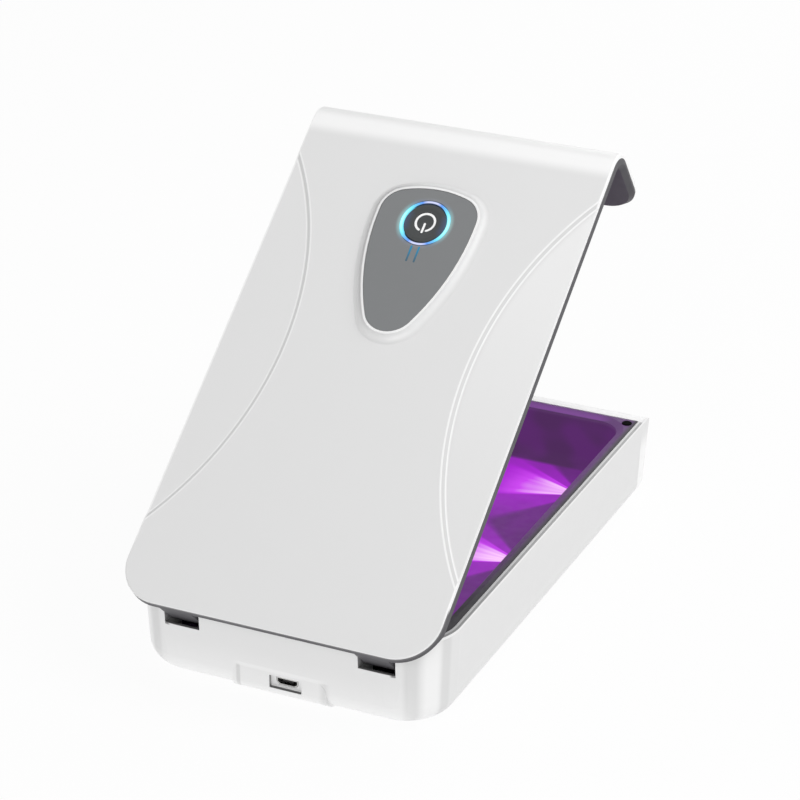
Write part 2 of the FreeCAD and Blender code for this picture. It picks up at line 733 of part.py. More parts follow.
def pivot_bush(side):
    x0, x1 = bush_span(side)
    return rod_x(BUSH_R, AXIS_Y, AXIS_Z, x0, x1).cut(rod_x(BUSH_BORE_R, AXIS_Y, AXIS_Z, x0, x1))


def friction_washers():
    washers = []
    for x0, x1 in notch_ranges():
        for start in (x0, x1 - WASHER_THICKNESS):
            disc = rod_x(WASHER_R, AXIS_Y, AXIS_Z, start, start + WASHER_THICKNESS)
            bore = BUSH_R + PIVOT_GAP
            washers.append(disc.cut(rod_x(bore, AXIS_Y, AXIS_Z, start, start + WASHER_THICKNESS)))
    return group(washers)


def knuckle_arm(side):
    """A lid arm: a barrel on the hinge axis, with a web that rises to the liner's rear edge."""
    top = LINER_TOP_Z - AXIS_Z
    foot_z = LID_TOP_Z - rear_thickness() - AXIS_Z
    tip = V(-HINGE_INSET + COVER_EDGE_R, foot_z, 0)
    turn = math.atan2(tip.y, tip.x) + math.acos(KNUCKLE_R / tip.Length)
    touch = V(KNUCKLE_R * math.cos(turn), KNUCKLE_R * math.sin(turn), 0)
    corners = [(KNUCKLE_R, 0, 0), (KNUCKLE_R, top, 0), (tip.x, top, 0),
               (tip.x, tip.y, 0), (touch.x, touch.y, 0)]
    corners = [(AXIS_Y + u, AXIS_Z + v, r) for u, v, r in corners]
    x0 = side * HINGE_X - KNUCKLE_HALF
    web = plate(outline(corners, flat_yz(x0)), V(2 * KNUCKLE_HALF, 0, 0))
    return fused(web, [rod_x(KNUCKLE_R, AXIS_Y, AXIS_Z, x0, x0 + 2 * KNUCKLE_HALF)])


def rear_thickness():
    """The lid's thickness at its rear edge, which clears the top of the rear wall as the lid swings."""
    return LID_TOP_Z - AXIS_Z - SWEEP_R


# Lid


def lid_block(inset):
    """The bent lid, from its outer face in to a depth: a plate over the top and a flange down the front."""
    end = LID_END - inset
    top = LID_TOP_Z - inset
    low = LID_TOP_Z - FLANGE_DROP
    corners = [(REAR, top, 0), (end, top, BEND_R - inset), (end, low, 0), (REAR, low, 0)]
    return plate(outline(corners, flat_yz(-HALF_WIDTH)), V(BASE_WIDTH, 0, 0))


def lid_trim():
    """The lid's plan and the flange's front outline, as one solid to trim by."""
    end = LID_END + BEYOND
    low = LID_TOP_Z - FLANGE_DROP
    plan = rectangle(-HALF_WIDTH, HALF_WIDTH, REAR, end, LID_CORNER_R, 0)
    upright = plate(outline(plan, flat_xy(low)), V(0, 0, LID_TOP_Z + BEYOND - low))
    face = rectangle(-HALF_WIDTH, HALF_WIDTH, low, LID_TOP_Z + BEYOND, FLANGE_CORNER_R, 0)
    return upright.common(plate(outline(face, flat_xz(REAR)), V(0, end - REAR, 0)))


def lid_hollow():
    """The space under the lid plate and behind the flange."""
    end = LID_END - FLANGE_THICKNESS
    low = LID_TOP_Z - FLANGE_DROP
    corners = [(REAR, LID_BOTTOM_Z, 0), (end, LID_BOTTOM_Z, INNER_BEND_R), (end, low, 0), (REAR, low, 0)]
    return plate(outline(corners, flat_yz(-HALF_WIDTH)), V(BASE_WIDTH, 0, 0))


def teardrop(grow, z):
    """The badge's outline grown by a margin: a tip arc, two long sides, two shoulders and a crown."""
    tip = V(0, LID_END - BADGE_TIP_INSET, z)
    tip_r = BADGE_TIP_R + grow
    shoulder_r = BADGE_SHOULDER_R + grow
    side_r = BADGE_SIDE_R + grow
    crown_r = BADGE_TOP_R + grow
    shoulder = V(BADGE_SHOULDER_X, LID_END - BADGE_SHOULDER_INSET, z)
    gap = shoulder - tip
    reach_tip, reach_shoulder = side_r - tip_r, side_r - shoulder_r
    step = (reach_tip ** 2 - reach_shoulder ** 2 + gap.Length ** 2) / (2 * gap.Length)
    unit = V(gap).normalize()
    side = tip + unit * step + V(-unit.y, unit.x, 0) * math.sqrt(reach_tip ** 2 - step ** 2)
    crown = V(0, shoulder.y - math.sqrt((crown_r - shoulder_r) ** 2 - BADGE_SHOULDER_X ** 2), z)
    low = side + (tip - side).normalize() * side_r
    high = side + (shoulder - side).normalize() * side_r
    top = crown + (shoulder - crown).normalize() * crown_r
    middle = side + ((low + high) * 0.5 - side).normalize() * side_r
    corner = shoulder + ((high + top) * 0.5 - shoulder).normalize() * shoulder_r

    def mirror(p):
        return V(-p.x, p.y, p.z)

    arcs = [(mirror(low), tip - V(0, tip_r, 0), low), (low, middle, high), (high, corner, top),
            (top, crown + V(0, crown_r, 0), mirror(top)), (mirror(top), mirror(corner), mirror(high)),
            (mirror(high), mirror(middle), mirror(low))]
    return Part.Wire([Part.Arc(*points).toShape() for points in arcs])


def badge_boss():
    """The soft mound that carries the badge."""
    foot = teardrop(BOSS_RIM + BOSS_SLOPE, LID_TOP_Z)
    crest = teardrop(BOSS_RIM, LID_TOP_Z + BOSS_HEIGHT)
    mound = Part.makeLoft([foot, crest], True, True)
    top = [e for e in mound.Edges if e.BoundBox.ZMin > LID_TOP_Z + BOSS_HEIGHT - 1e-3]
    return mound.makeFillet(BOSS_TOP_EDGE_R, top)


def facet_cuts():
    """Lens-shaped side facets: wide shallow cones that lower the lid's long edges behind a soft step."""
    cuts = []
    for side in SIDES:
        x = side * (HALF_WIDTH - FACET_WIDTH + FACET_R)
        y = along(FACET_REAR_INSET) + FACET_REACH
        low = V(x, y, LID_TOP_Z - FACET_STEP)
        cone = Part.makeCone(FACET_R - FACET_BLEND, FACET_R, FACET_STEP, low, V(0, 0, 1))
        cuts.append(cone)
    return cuts


def lid_screw_places():
    x = HALF_WIDTH - LID_SCREW_SIDE_INSET
    rear = along(LID_SCREW_REAR_INSET)
    front = LID_END - LID_SCREW_FRONT_INSET
    return [(side * x, y) for side in SIDES for y in (rear, (rear + front) / 2, front)]


def lid_cover():
    sheet = lid_block(0.0).cut(lid_block(COVER_THICKNESS)).common(lid_trim())
    outer = [e for e in sheet.Edges if cover_edge(e)]
    sheet = sheet.makeFillet(COVER_EDGE_R, outer)
    sheet = fused(sheet.cut(facet_cuts()), [badge_boss()])
    bosses = [rod_z(LID_BOSS_R, x, y, POCKET_Z, LINER_TOP_Z) for x, y in lid_screw_places()]
    sheet = fused(sheet, bosses)
    cuts = [plate(teardrop(SEAT_GAP, BADGE_Z - BADGE_THICKNESS), V(0, 0, BEYOND))]
    cuts.append(rod_z(RING_R + SEAT_GAP, 0, RING_Y, LINER_TOP_Z, BADGE_Z))
    depth = COVER_THICKNESS - FACET_STEP
    for x, y in lid_screw_places():
        cuts.append(rod_z(LID_SCREW_R + SCREW_GAP, x, y, POCKET_Z, LINER_TOP_Z + depth / 2))
    return sheet.cut(cuts)


def cover_edge(edge):
    """Whether an edge runs round the rear and sides of the lid's outer face."""
    b = edge.BoundBox
    return b.ZMin > LID_TOP_Z - 1e-3 and b.YMin < LID_END - BEND_R - 1e-3


def liner_edge(edge):
    """Whether an edge runs along a long side of the liner's underside."""
    b = edge.BoundBox
    side = abs(abs(b.Center.x) - HALF_WIDTH) < 1e-3
    return side and b.ZMax < LID_BOTTOM_Z + 1e-3 and b.ZMin > LID_BOTTOM_Z - 1e-3


def lid_liner():
    body = lid_block(COVER_THICKNESS).cut(lid_hollow()).common(lid_trim())
    body = body.makeChamfer(LINER_CHAMFER, [e for e in body.Edges if liner_edge(e)])
    low = AXIS_Z - BEYOND
    relief = [rod_x(SWEEP_R, AXIS_Y, AXIS_Z, -HALF_WIDTH, HALF_WIDTH),
              box(-HALF_WIDTH, HALF_WIDTH, REAR, AXIS_Y, low, AXIS_Z + SWEEP_R)]
    body = body.cut(relief)
    body = fused(body, [knuckle_arm(side) for side in SIDES])
    half = HALF_WIDTH - POCKET_INSET
    pocket_rear = along(POCKET_REAR_INSET)
    cuts = [box(-half, half, pocket_rear, LID_END - POCKET_FRONT_INSET, POCKET_Z, LINER_TOP_Z)]
    for side in SIDES:
        x0, x1 = pin_span(side)
        cuts.append(rod_x(PIN_R + PIVOT_GAP, AXIS_Y, AXIS_Z, x0, x1))
        x0, x1 = bush_span(side)
        cuts.append(rod_x(BUSH_R + PIVOT_GAP, AXIS_Y, AXIS_Z, x0, x1))
    channel = CABLE_R + CABLE_GAP
    bush_end = bush_span(-1)[0]
    cuts.append(rod_x(channel, AXIS_Y, AXIS_Z, CABLE_X - channel, bush_end))
    cuts.append(rod_z(channel, CABLE_X, AXIS_Y, AXIS_Z, LINER_TOP_Z))
    cuts.append(box(CABLE_X - channel, CABLE_X + channel, AXIS_Y, pocket_rear,
                    CABLE_Z - CABLE_R - CABLE_GAP / 2, LINER_TOP_Z))
    for x, y in lid_screw_places():
        cuts.append(rod_z(LID_SCREW_R + SCREW_GAP, x, y, LID_BOTTOM_Z, POCKET_Z))
        cuts.append(rod_z(LID_SCREW_HEAD_R + SCREW_GAP, x, y, LID_BOTTOM_Z, LID_BOTTOM_Z + LID_SCREW_HEAD))
    cuts += strike_blocks()
    return body.cut(cuts)


def lid_screws():
    screws = []
    for x, y in lid_screw_places():
        shank = rod_z(LID_SCREW_R, x, y, LID_BOTTOM_Z, LINER_TOP_Z)
        head = rod_z(LID_SCREW_HEAD_R, x, y, LID_BOTTOM_Z, LID_BOTTOM_Z + LID_SCREW_HEAD)
        screws.append(fused(shank, [head]))
    return group(screws)


def strike_blocks():
    """Steel plates let into the flange's inner face, opposite the base's magnets."""
    face = LID_END - FLANGE_THICKNESS
    z0, z1 = magnet_heights()
    return [box(x - MAGNET_WIDTH / 2, x + MAGNET_WIDTH / 2, face, face + STRIKE_THICKNESS, z0, z1)
            for x in magnet_columns()]


def magnet_columns():
    return [side * MAGNET_X for side in SIDES]


def magnet_heights():
    middle = TOP_Z - MAGNET_DROP
    return middle - MAGNET_HEIGHT / 2, middle + MAGNET_HEIGHT / 2


def catch_magnets():
    """Magnets on the outside of the tray's front wall."""
    face = CAVITY_FRONT + TRAY_WALL
    z0, z1 = magnet_heights()
    return group([box(x - MAGNET_WIDTH / 2, x + MAGNET_WIDTH / 2, face, face + MAGNET_THICKNESS, z0, z1)
                  for x in magnet_columns()])


# Badge, ring and button


def streak(x, z0, z1):
    """A narrow slot with round ends, from near the ring towards the hinge."""
    far = RING_Y - RING_R - STREAK_WIDTH / 2
    corners = rectangle(x - STREAK_WIDTH / 2, x + STREAK_WIDTH / 2, far - STREAK_LENGTH, far,
                        STREAK_WIDTH / 2, STREAK_WIDTH / 2)
    return plate(outline(corners, flat_xy(z0)), V(0, 0, z1 - z0))


def streaks():
    return [streak(side * STREAK_X, BADGE_Z - BADGE_THICKNESS, BADGE_Z) for side in SIDES]


def badge_plate():
    body = plate(teardrop(0.0, BADGE_Z - BADGE_THICKNESS), V(0, 0, BADGE_THICKNESS))
    hole = rod_z(RING_R + SEAT_GAP, 0, RING_Y, BADGE_Z - BADGE_THICKNESS, BADGE_Z)
    return body.cut([hole] + streaks())


def light_ring():
    y = RING_Y
    low = LINER_TOP_Z - RING_FLANGE_HEIGHT
    tall = rod_z(RING_R, 0, y, low, BADGE_Z)
    ring = fused(tall, [rod_z(RING_R + RING_FLANGE, 0, y, low, LINER_TOP_Z)])
    step = BADGE_Z - RING_STEP_DEPTH
    return ring.cut([rod_z(RING_R - RING_WALL, 0, y, low, BADGE_Z), rod_z(RING_STEP_R, 0, y, low, step)])


def power_button():
    """A hollow cap with a faint dish, a lip that the ring holds in, and a stem that meets the switch."""
    y = RING_Y
    lip_top = BADGE_Z - RING_STEP_DEPTH - BUTTON_GAP
    low = lip_top - BUTTON_LIP_HEIGHT
    under = BADGE_Z - BUTTON_CAP
    cap = rod_z(BUTTON_R, 0, y, low, BADGE_Z)
    cap = fused(cap, [rod_z(RING_STEP_R - BUTTON_GAP, 0, y, low, lip_top)])
    cap = cap.cut(rod_z(BUTTON_R - BUTTON_WALL, 0, y, low, under))
    button = fused(cap, [rod_z(BUTTON_STEM_R, 0, y, STEM_Z, under)])
    rim = [e for e in button.Edges if e.BoundBox.ZMin > BADGE_Z - 1e-3]
    button = button.makeFillet(BUTTON_GAP, rim)
    depth = (BUTTON_R - BUTTON_DISH_INSET) ** 2 / (2 * BUTTON_DISH_R)
    return button.cut(Part.makeSphere(BUTTON_DISH_R, V(0, y, BADGE_Z + BUTTON_DISH_R - depth)))


def lid_board():
    half = LID_BOARD_WIDTH / 2
    return box(-half, half, LID_BOARD_REAR, LID_BOARD_REAR + LID_BOARD_LENGTH, POCKET_Z, LID_BOARD_Z)


def touch_switch():
    half = SWITCH_SIZE / 2
    y = RING_Y
    body = box(-half, half, y - half, y + half, LID_BOARD_Z, LID_BOARD_Z + SWITCH_HEIGHT)
    return body.cut(rod_z(PLUNGER_R + PLUNGER_GAP, 0, y, LID_BOARD_Z, LID_BOARD_Z + SWITCH_HEIGHT))


def switch_plunger():
    low = LID_BOARD_Z + BUTTON_TRAVEL + PLUNGER_FLOOR_GAP
    return rod_z(PLUNGER_R, 0, RING_Y, low, STEM_Z)


def ring_leds():
    """Four small light sources on the lid board, under the ring."""
    leds = []
    reach = RING_R - RING_WALL / 2
    half = RING_LED_SIZE / 2
    for turn in range(4):
        angle = math.pi / 4 + turn * math.pi / 2
        x, y = reach * math.cos(angle), RING_Y + reach * math.sin(angle)
        leds.append(box(x - half, x + half, y - half, y + half, LID_BOARD_Z, LID_BOARD_Z + RING_LED_HEIGHT))
    return group(leds)


# Cables: two halves that meet inside the left knuckle, on the hinge axis


def cable_meeting():
    return V(bush_span(-1)[0], AXIS_Y, AXIS_Z)


def base_cable():
    x, y = plug_place()
    top = V(x, AXIS_Y, AXIS_Z)
    bend = V(x, AXIS_Y, BOARD_Z + PLUG_HEIGHT + CABLE_DROP)
    turn = V(x, y, bend.z - (y - AXIS_Y))
    return tube([cable_meeting(), top, bend, turn, V(x, y, BOARD_Z + PLUG_HEIGHT)], CABLE_R)


def lid_cable():
    rise = V(CABLE_X, AXIS_Y, AXIS_Z)
    level = V(CABLE_X, AXIS_Y, CABLE_Z)
    turn = V(CABLE_X, LID_BOARD_REAR - CABLE_RUN_IN, CABLE_Z)
    aim = V(-LID_BOARD_WIDTH / 4, LID_BOARD_REAR - PLUG_LENGTH, CABLE_Z)
    end = V(aim.x, LID_BOARD_REAR, CABLE_Z)
    return tube([cable_meeting(), rise, level, turn, aim, end], CABLE_R)


def lid_plug():
    """The cable's connector on the lid board."""
    x = -LID_BOARD_WIDTH / 4
    return box(x - PLUG_WIDTH / 2, x + PLUG_WIDTH / 2, LID_BOARD_REAR, LID_BOARD_REAR + PLUG_LENGTH,
               LID_BOARD_Z, LINER_TOP_Z)


def opened(shape):
    """The lid's pieces turned about the hinge axis to the open pose."""
    turned = shape.copy()
    turned.rotate(V(0, AXIS_Y, AXIS_Z), V(1, 0, 0), LID_OPEN)
    return turned


BASE_PIECES = {
    "base_shell": base_shell(),
    "inner_tray": inner_tray(),
    "rubber_feet": rubber_feet(),
    "base_screws": base_screws(),
    "rim_bumpers": rim_bumpers(),
    "lamp_windows": lamp_pieces(0.0, WINDOW_THICKNESS, WINDOW_SIZE),
    "uv_lamps": lamp_pieces(WINDOW_THICKNESS, TRAY_WALL, LAMP_SIZE),
    "lamp_strip_left": lamp_strip(-1),
    "lamp_strip_right": lamp_strip(1),
    "lamp_lead_left": lamp_flex(-1),
    "lamp_lead_right": lamp_flex(1),
    "usb_socket": usb_socket(),
    "usb_tongue": usb_tongue(),
    "main_board": main_board(),
    "board_chips": board_chips(),
    "board_plugs": board_plugs(),
    "hinge_pin_left": hinge_pin(-1),
    "hinge_pin_right": hinge_pin(1),
    "pivot_bush_left": pivot_bush(-1),
    "pivot_bush_right": pivot_bush(1),
    "friction_washers": friction_washers(),
    "catch_magnets": catch_magnets(),
    "base_cable": base_cable(),
}
LID_PIECES = {
    "lid_cover": lid_cover(),
    "lid_liner": lid_liner(),
    "lid_screws": lid_screws(),
    "strike_plates": group(strike_blocks()),
    "badge_plate": badge_plate(),
    "light_streaks": group(streaks()),
    "light_ring": light_ring(),
    "power_button": power_button(),
    "lid_board": lid_board(),
    "touch_switch": touch_switch(),
    "switch_plunger": switch_plunger(),
    "ring_leds": ring_leds(),
    "lid_cable": lid_cable(),
    "lid_plug": lid_plug(),
}

pieces = dict(BASE_PIECES)
pieces.update({name: opened(shape) for name, shape in LID_PIECES.items()})

# The origin is the middle of the open box's footprint on the table
reach = group(list(pieces.values())).optimalBoundingBox(False, False)
middle = V(0, -(reach.YMin + reach.YMax) / 2, 0)
os.makedirs("parts", exist_ok=True)
for name, shape in pieces.items():
    shape.translate(middle)
    shape.exportStep(f"parts/{name}.step")
    print(name, "valid" if shape.isValid() else "NOT VALID", len(shape.Solids), round(shape.Volume, 2))
print("origin shift", round(middle.y, 4), "hinge axis", round(AXIS_Y + middle.y, 4), round(AXIS_Z, 4))
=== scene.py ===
"""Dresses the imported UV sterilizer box.

The script gives the pieces their moulded finishes, the lit ring, the power sign and the violet light, and
sets the studio. All lengths are metres in the part's own frame, +Z up, with the hinge at -Y.
"""

import json
import math

import bmesh
import bpy
import numpy as np
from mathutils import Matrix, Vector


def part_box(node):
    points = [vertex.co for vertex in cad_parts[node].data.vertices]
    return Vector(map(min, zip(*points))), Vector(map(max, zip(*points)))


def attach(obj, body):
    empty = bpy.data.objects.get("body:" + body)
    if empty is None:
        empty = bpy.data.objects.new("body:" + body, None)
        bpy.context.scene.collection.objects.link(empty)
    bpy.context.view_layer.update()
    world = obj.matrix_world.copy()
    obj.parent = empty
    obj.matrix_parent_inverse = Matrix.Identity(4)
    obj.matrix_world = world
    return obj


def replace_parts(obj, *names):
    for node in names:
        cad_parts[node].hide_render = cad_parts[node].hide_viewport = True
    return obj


bl_info = {
    "name": "UV Sterilizer Box Finish",
    "version": (1, 0, 0),
    "blender": (4, 5, 0),
    "location": "View3D > Sidebar > Sterilizer",
    "description": "Finishes, lights and small fittings of a UV sterilizer box",
    "category": "Object",
}

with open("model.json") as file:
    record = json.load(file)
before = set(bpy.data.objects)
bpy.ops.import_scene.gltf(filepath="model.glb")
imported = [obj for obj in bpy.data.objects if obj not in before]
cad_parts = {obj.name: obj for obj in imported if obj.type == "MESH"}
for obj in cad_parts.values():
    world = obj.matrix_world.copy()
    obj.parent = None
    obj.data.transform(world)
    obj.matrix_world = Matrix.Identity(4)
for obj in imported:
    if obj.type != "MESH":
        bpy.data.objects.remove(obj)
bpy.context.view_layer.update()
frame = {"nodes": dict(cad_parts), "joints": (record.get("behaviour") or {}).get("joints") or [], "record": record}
MM = 0.001
SIDES = (-1, 1)

HINGE = next(j for j in frame["joints"] if j["name"] == "lid_hinge")
PIVOT = np.array(HINGE["pos_m"])
LID_ANGLE = -math.radians(HINGE["range_deg"][0])
TURN = np.array([
    [1, 0, 0],
    [0, math.cos(LID_ANGLE), -math.sin(LID_ANGLE)],
    [0, math.sin(LID_ANGLE), math.cos(LID_ANGLE)],
])


def node_points(node):
    """All vertices of a CAD node, as an array of rows."""
    mesh = frame["nodes"][node].data
    points = np.empty(len(mesh.vertices) * 3, np.float32)
    mesh.vertices.foreach_get("co", points)
    return points.reshape(-1, 3).astype(float)


def shut_lid(points):
    """Points of the lid at its open rest pose, turned about the hinge until it is shut."""
    return (np.asarray(points) - PIVOT) @ TURN + PIVOT


def open_lid(points):
    """Points of the shut lid, turned about the hinge to the open rest pose."""
    return (np.asarray(points) - PIVOT) @ TURN.T + PIVOT


def closed_box(node):
    """The lowest and highest corners of a lid node, measured with the lid shut."""
    shut = shut_lid(node_points(node))
    return shut.min(0), shut.max(0)


RING_LOW, RING_HIGH = closed_box("light_ring")
_, COVER_HIGH = closed_box("lid_cover")
BUTTON_LOW, BUTTON_HIGH = closed_box("power_button")
BUTTON_TOP = np.array([0.0, (BUTTON_LOW[1] + BUTTON_HIGH[1]) / 2, BUTTON_HIGH[2]])
RING_CENTRE = open_lid(BUTTON_TOP)
_, TRAY_HIGH = (np.array(corner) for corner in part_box("inner_tray"))
CAVITY_LOW, CAVITY_HIGH = np.array(frame["record"]["physics"]["openings"][0]["box_m"])
INLET = np.array(next(m["pos_m"] for m in frame["record"]["mounts"] if m["name"] == "power_inlet"))

# Places on the shut lid, from the hinge axis
LID_HALF = 55.0 * MM
LID_REAR = -7.3 * MM
LID_CORNER = 14.0 * MM
LINER_TOP = 12.7 * MM
MOUND_HEIGHT = 2.0 * MM
CREST_Z = COVER_HIGH[2] - PIVOT[2]
BEND_R = 9.0 * MM
BEND_Y = COVER_HIGH[1] - PIVOT[1] - BEND_R
FACET_X = 154.47 * MM
FACET_Y = 91.5 * MM
FACET_TOP_R = 122.97 * MM
FACET_LOW_R = 121.37 * MM
DISH_R = 60.0 * MM
DISH_DEPTH = 0.288 * MM

# Places on the base, from the part's origin
BASE_TOP = 33.0 * MM
BASE_REAR = -90.73 * MM
BASE_CORNER = 18.5 * MM
WALL_DRAFT = math.tan(math.radians(3.0))
LIP_WIDTH = 1.7 * MM
NOTCH_X = 34.3 * MM
NOTCH_HALF = 6.35 * MM
NOTCH_LOW = 20.8 * MM
PAD_TOP = 11.95 * MM
PAD_HALF = 16.5 * MM
LAMP_ROWS = (64.67 * MM, 10.37 * MM, -43.93 * MM)
FLOOR_Z = CAVITY_LOW[2]
RIM_Z = TRAY_HIGH[2]
WALL_X = 48.84 * MM
WALL_EDGE = 2.7 * MM


class SterilizerColours(bpy.types.PropertyGroup):
    """Colours of the mouldings and lights."""

    shell: bpy.props.FloatVectorProperty(
        name="Shell", description="White mouldings", subtype="COLOR", default=(0.80, 0.80, 0.80))
    # Painted highlight: white mouldings made lighter where light catches their edges, folds and corners
    painted_highlight: bpy.props.FloatVectorProperty(
        name="Crisp edge", description="White mouldings along their edges", subtype="COLOR",
        default=(0.94, 0.94, 0.94))
    # Painted highlight: white lid and nose made brighter where light falls on the bend and the nose
    bright: bpy.props.FloatVectorProperty(
        name="Bright bend", description="White lid over its bend", subtype="COLOR",
        default=(0.985, 0.985, 0.985))
    liner: bpy.props.FloatVectorProperty(
        name="Liner", description="Dark mouldings", subtype="COLOR", default=(0.096, 0.094, 0.101))
    badge: bpy.props.FloatVectorProperty(
        name="Badge", description="Grey inlay", subtype="COLOR", default=(0.198, 0.205, 0.210))
    button: bpy.props.FloatVectorProperty(
        name="Button", description="Charcoal cap", subtype="COLOR", default=(0.022, 0.026, 0.027))
    frost: bpy.props.FloatVectorProperty(
        name="Frost", description="Ring at its hottest", subtype="COLOR", default=(0.46, 1.0, 1.0))
    cyan: bpy.props.FloatVectorProperty(
        name="Cyan", description="Ring near its hot ends", subtype="COLOR", default=(0.17, 0.88, 1.0))
    blue: bpy.props.FloatVectorProperty(
        name="Blue", description="Ring between its ends", subtype="COLOR", default=(0.07, 0.27, 0.94))
    lavender: bpy.props.FloatVectorProperty(
        name="Lavender", description="Ring at its palest", subtype="COLOR", default=(0.62, 0.64, 0.93))
    streak: bpy.props.FloatVectorProperty(
        name="Streak", description="Light streaks beside the ring", subtype="COLOR",
        default=(0.010, 0.23, 0.42))
    dusk: bpy.props.FloatVectorProperty(
        name="Dusk", description="Cavity where little light falls", subtype="COLOR",
        default=(0.074, 0.023, 0.101))
    plum: bpy.props.FloatVectorProperty(
        name="Plum", description="Cavity between the lamps", subtype="COLOR", default=(0.19, 0.020, 0.30))
    violet: bpy.props.FloatVectorProperty(
        name="Violet", description="Cavity in the lamps' light", subtype="COLOR",
        default=(0.40, 0.018, 0.64))
    orchid: bpy.props.FloatVectorProperty(
        name="Orchid", description="Fan of light far from its lamp", subtype="COLOR",
        default=(0.60, 0.055, 0.87))
    glare: bpy.props.FloatVectorProperty(
        name="Glare", description="Fan of light near its lamp", subtype="COLOR", default=(0.98, 0.58, 1.0))


class SterilizerSizes(bpy.types.PropertyGroup):
    """Sizes of the small fittings that are made here."""

    sign_radius: bpy.props.FloatProperty(
        name="Sign radius", description="Power sign, to its stroke's middle", unit="LENGTH",
        default=3.3 * MM)
    sign_stroke: bpy.props.FloatProperty(
        name="Sign stroke", description="Width of the sign's line", unit="LENGTH", default=0.78 * MM)
    sign_gap: bpy.props.FloatProperty(
        name="Sign gap", description="Opening of the sign's arc", subtype="ANGLE", default=math.radians(46))
    sign_bar: bpy.props.FloatProperty(
        name="Sign bar", description="Length of the sign's bar", unit="LENGTH", default=4.05 * MM)
    sign_shift: bpy.props.FloatProperty(
        name="Sign shift", description="Sign's circle in front of the button's middle", unit="LENGTH",
        default=0.35 * MM)
    sign_lift: bpy.props.FloatProperty(
        name="Sign lift", description="How far the print stands out of the cap", unit="LENGTH",
        default=0.03 * MM)
    slot_width: bpy.props.FloatProperty(
        name="Cross width", description="Width of a screw's cross, as a share of its head", default=0.17)
    halo_reach: bpy.props.FloatProperty(
        name="Halo reach", description="How far the ring's light spreads", unit="LENGTH", default=1.7 * MM)


class StudioSettings(bpy.types.PropertyGroup):
    """The camera and the light."""

    azimuth: bpy.props.FloatProperty(
        name="Azimuth", description="Camera round the box", subtype="ANGLE", default=math.radians(24.853))
    elevation: bpy.props.FloatProperty(
        name="Elevation", description="Camera above the table", subtype="ANGLE",
        default=math.radians(25.481))
    distance: bpy.props.FloatProperty(
        name="Distance", description="Camera to its aim", unit="LENGTH", default=1.0193)
    lens: bpy.props.FloatProperty(name="Lens", description="Focal length in millimetres", default=133.97)
    aim: bpy.props.FloatVectorProperty(
        name="Aim", description="Point at the picture's centre", unit="LENGTH",
        default=(-10.645 * MM, 24.449 * MM, 55.938 * MM))
    ambient: bpy.props.FloatProperty(name="Ambient", description="Strength of the world", default=0.28)
    table: bpy.props.FloatProperty(name="Table", description="Glow of the table under the box", default=0.85)
    overhead: bpy.props.FloatProperty(
        name="Overhead", description="Soft light above the box", unit="POWER", default=3.7)
    right: bpy.props.FloatProperty(
        name="Right", description="Main light, high on the right", unit="POWER", default=5.6)
    near: bpy.props.FloatProperty(
        name="Near", description="Fill on the hinge side", unit="POWER", default=6.4)
    far: bpy.props.FloatProperty(
        name="Far", description="Light beyond the front", unit="POWER", default=4.5)
    left: bpy.props.FloatProperty(
        name="Left", description="Fill on the left", unit="POWER", default=0.8)


# Node helpers

RIDGE_CORE = 0.35
NOISE_RANGE = (0.3, 0.7)
COLOUR_DRIFT = 45.0
GLOSS_DRIFT = 260.0


def new_material(name):
    """An empty node material and its tree."""
    material = bpy.data.materials.new(name)
    material.use_nodes = True
    material.node_tree.nodes.clear()
    return material, material.node_tree


def add(tree, kind, values=None, **settings):
    """A node with its settings made and its inputs filled by values or linked to sockets."""
    made = tree.nodes.new(kind)
    for key, value in settings.items():
        setattr(made, key, value)
    for key, value in (values or {}).items():
        if isinstance(value, bpy.types.NodeSocket):
            tree.links.new(value, made.inputs[key])
        else:
            made.inputs[key].default_value = value
    return made


def calc(tree, operation, first, second=0.0, clamp=False):
    """One step of arithmetic, as a socket."""
    made = add(tree, "ShaderNodeMath", {0: first, 1: second}, operation=operation, use_clamp=clamp)
    return made.outputs[0]


def less(tree, first, second):
    """The first value less the second."""
    return calc(tree, "SUBTRACT", first, second)


def apart(tree, value, centre=0.0):
    """How far a value is from a centre, to either side."""
    return calc(tree, "ABSOLUTE", less(tree, value, centre))


def times(tree, first, *others):
    """The product of several values."""
    for other in others:
        first = calc(tree, "MULTIPLY", first, other)
    return first


def most(tree, first, *others):
    """The largest of several values."""
    for other in others:
        first = calc(tree, "MAXIMUM", first, other)
    return first


def length(tree, first, second):
    """The length of a step with two parts at right angles."""
    squares = [times(tree, part, part) for part in (first, second)]
    return calc(tree, "SQRT", calc(tree, "ADD", *squares))


def fade(tree, value, start, end, low=0.0, high=1.0):
    """A smooth change from low to high as a value goes from start to end."""
    made = add(tree, "ShaderNodeMapRange", {0: value, 1: start, 2: end, 3: low, 4: high},
               interpolation_type="SMOOTHSTEP")
    return made.outputs[0]


def ridge(tree, value, centre, half):
    """1 where a value is at a centre, fading to 0 at half a width from it."""
    return fade(tree, apart(tree, value, centre), half, half * RIDGE_CORE)


def span(tree, value, low, high, soft):
    """1 where a value lies between two ends, which are softened by a margin on each side."""
    rise = fade(tree, value, low - soft, low + soft)
    return times(tree, rise, fade(tree, value, high + soft, high - soft))


def blend(tree, share, first, second):
    """A colour between two, by a share."""
    made = add(tree, "ShaderNodeMix", {0: share, 6: first, 7: second}, data_type="RGBA")
    return made.outputs[2]


def ramp(tree, value, first, last, stops):
    """A colour that goes from the first to the last through stops, as a value goes from 0 to 1."""
    made = add(tree, "ShaderNodeValToRGB", {0: value})
    elements = made.color_ramp.elements
    elements[0].color = rgba(first)
    elements[1].color = rgba(last)
    for place, colour in stops:
        elements.new(place).color = rgba(colour)
    return made.outputs[0]


def rgba(colour, share=1.0):
    """A colour, darkened to a share where one is given, with full cover."""
    return (*(part * share for part in colour), 1.0)


def object_point(tree):
    """Object coordinates, which are the part's own frame."""
    return add(tree, "ShaderNodeTexCoord").outputs["Object"]


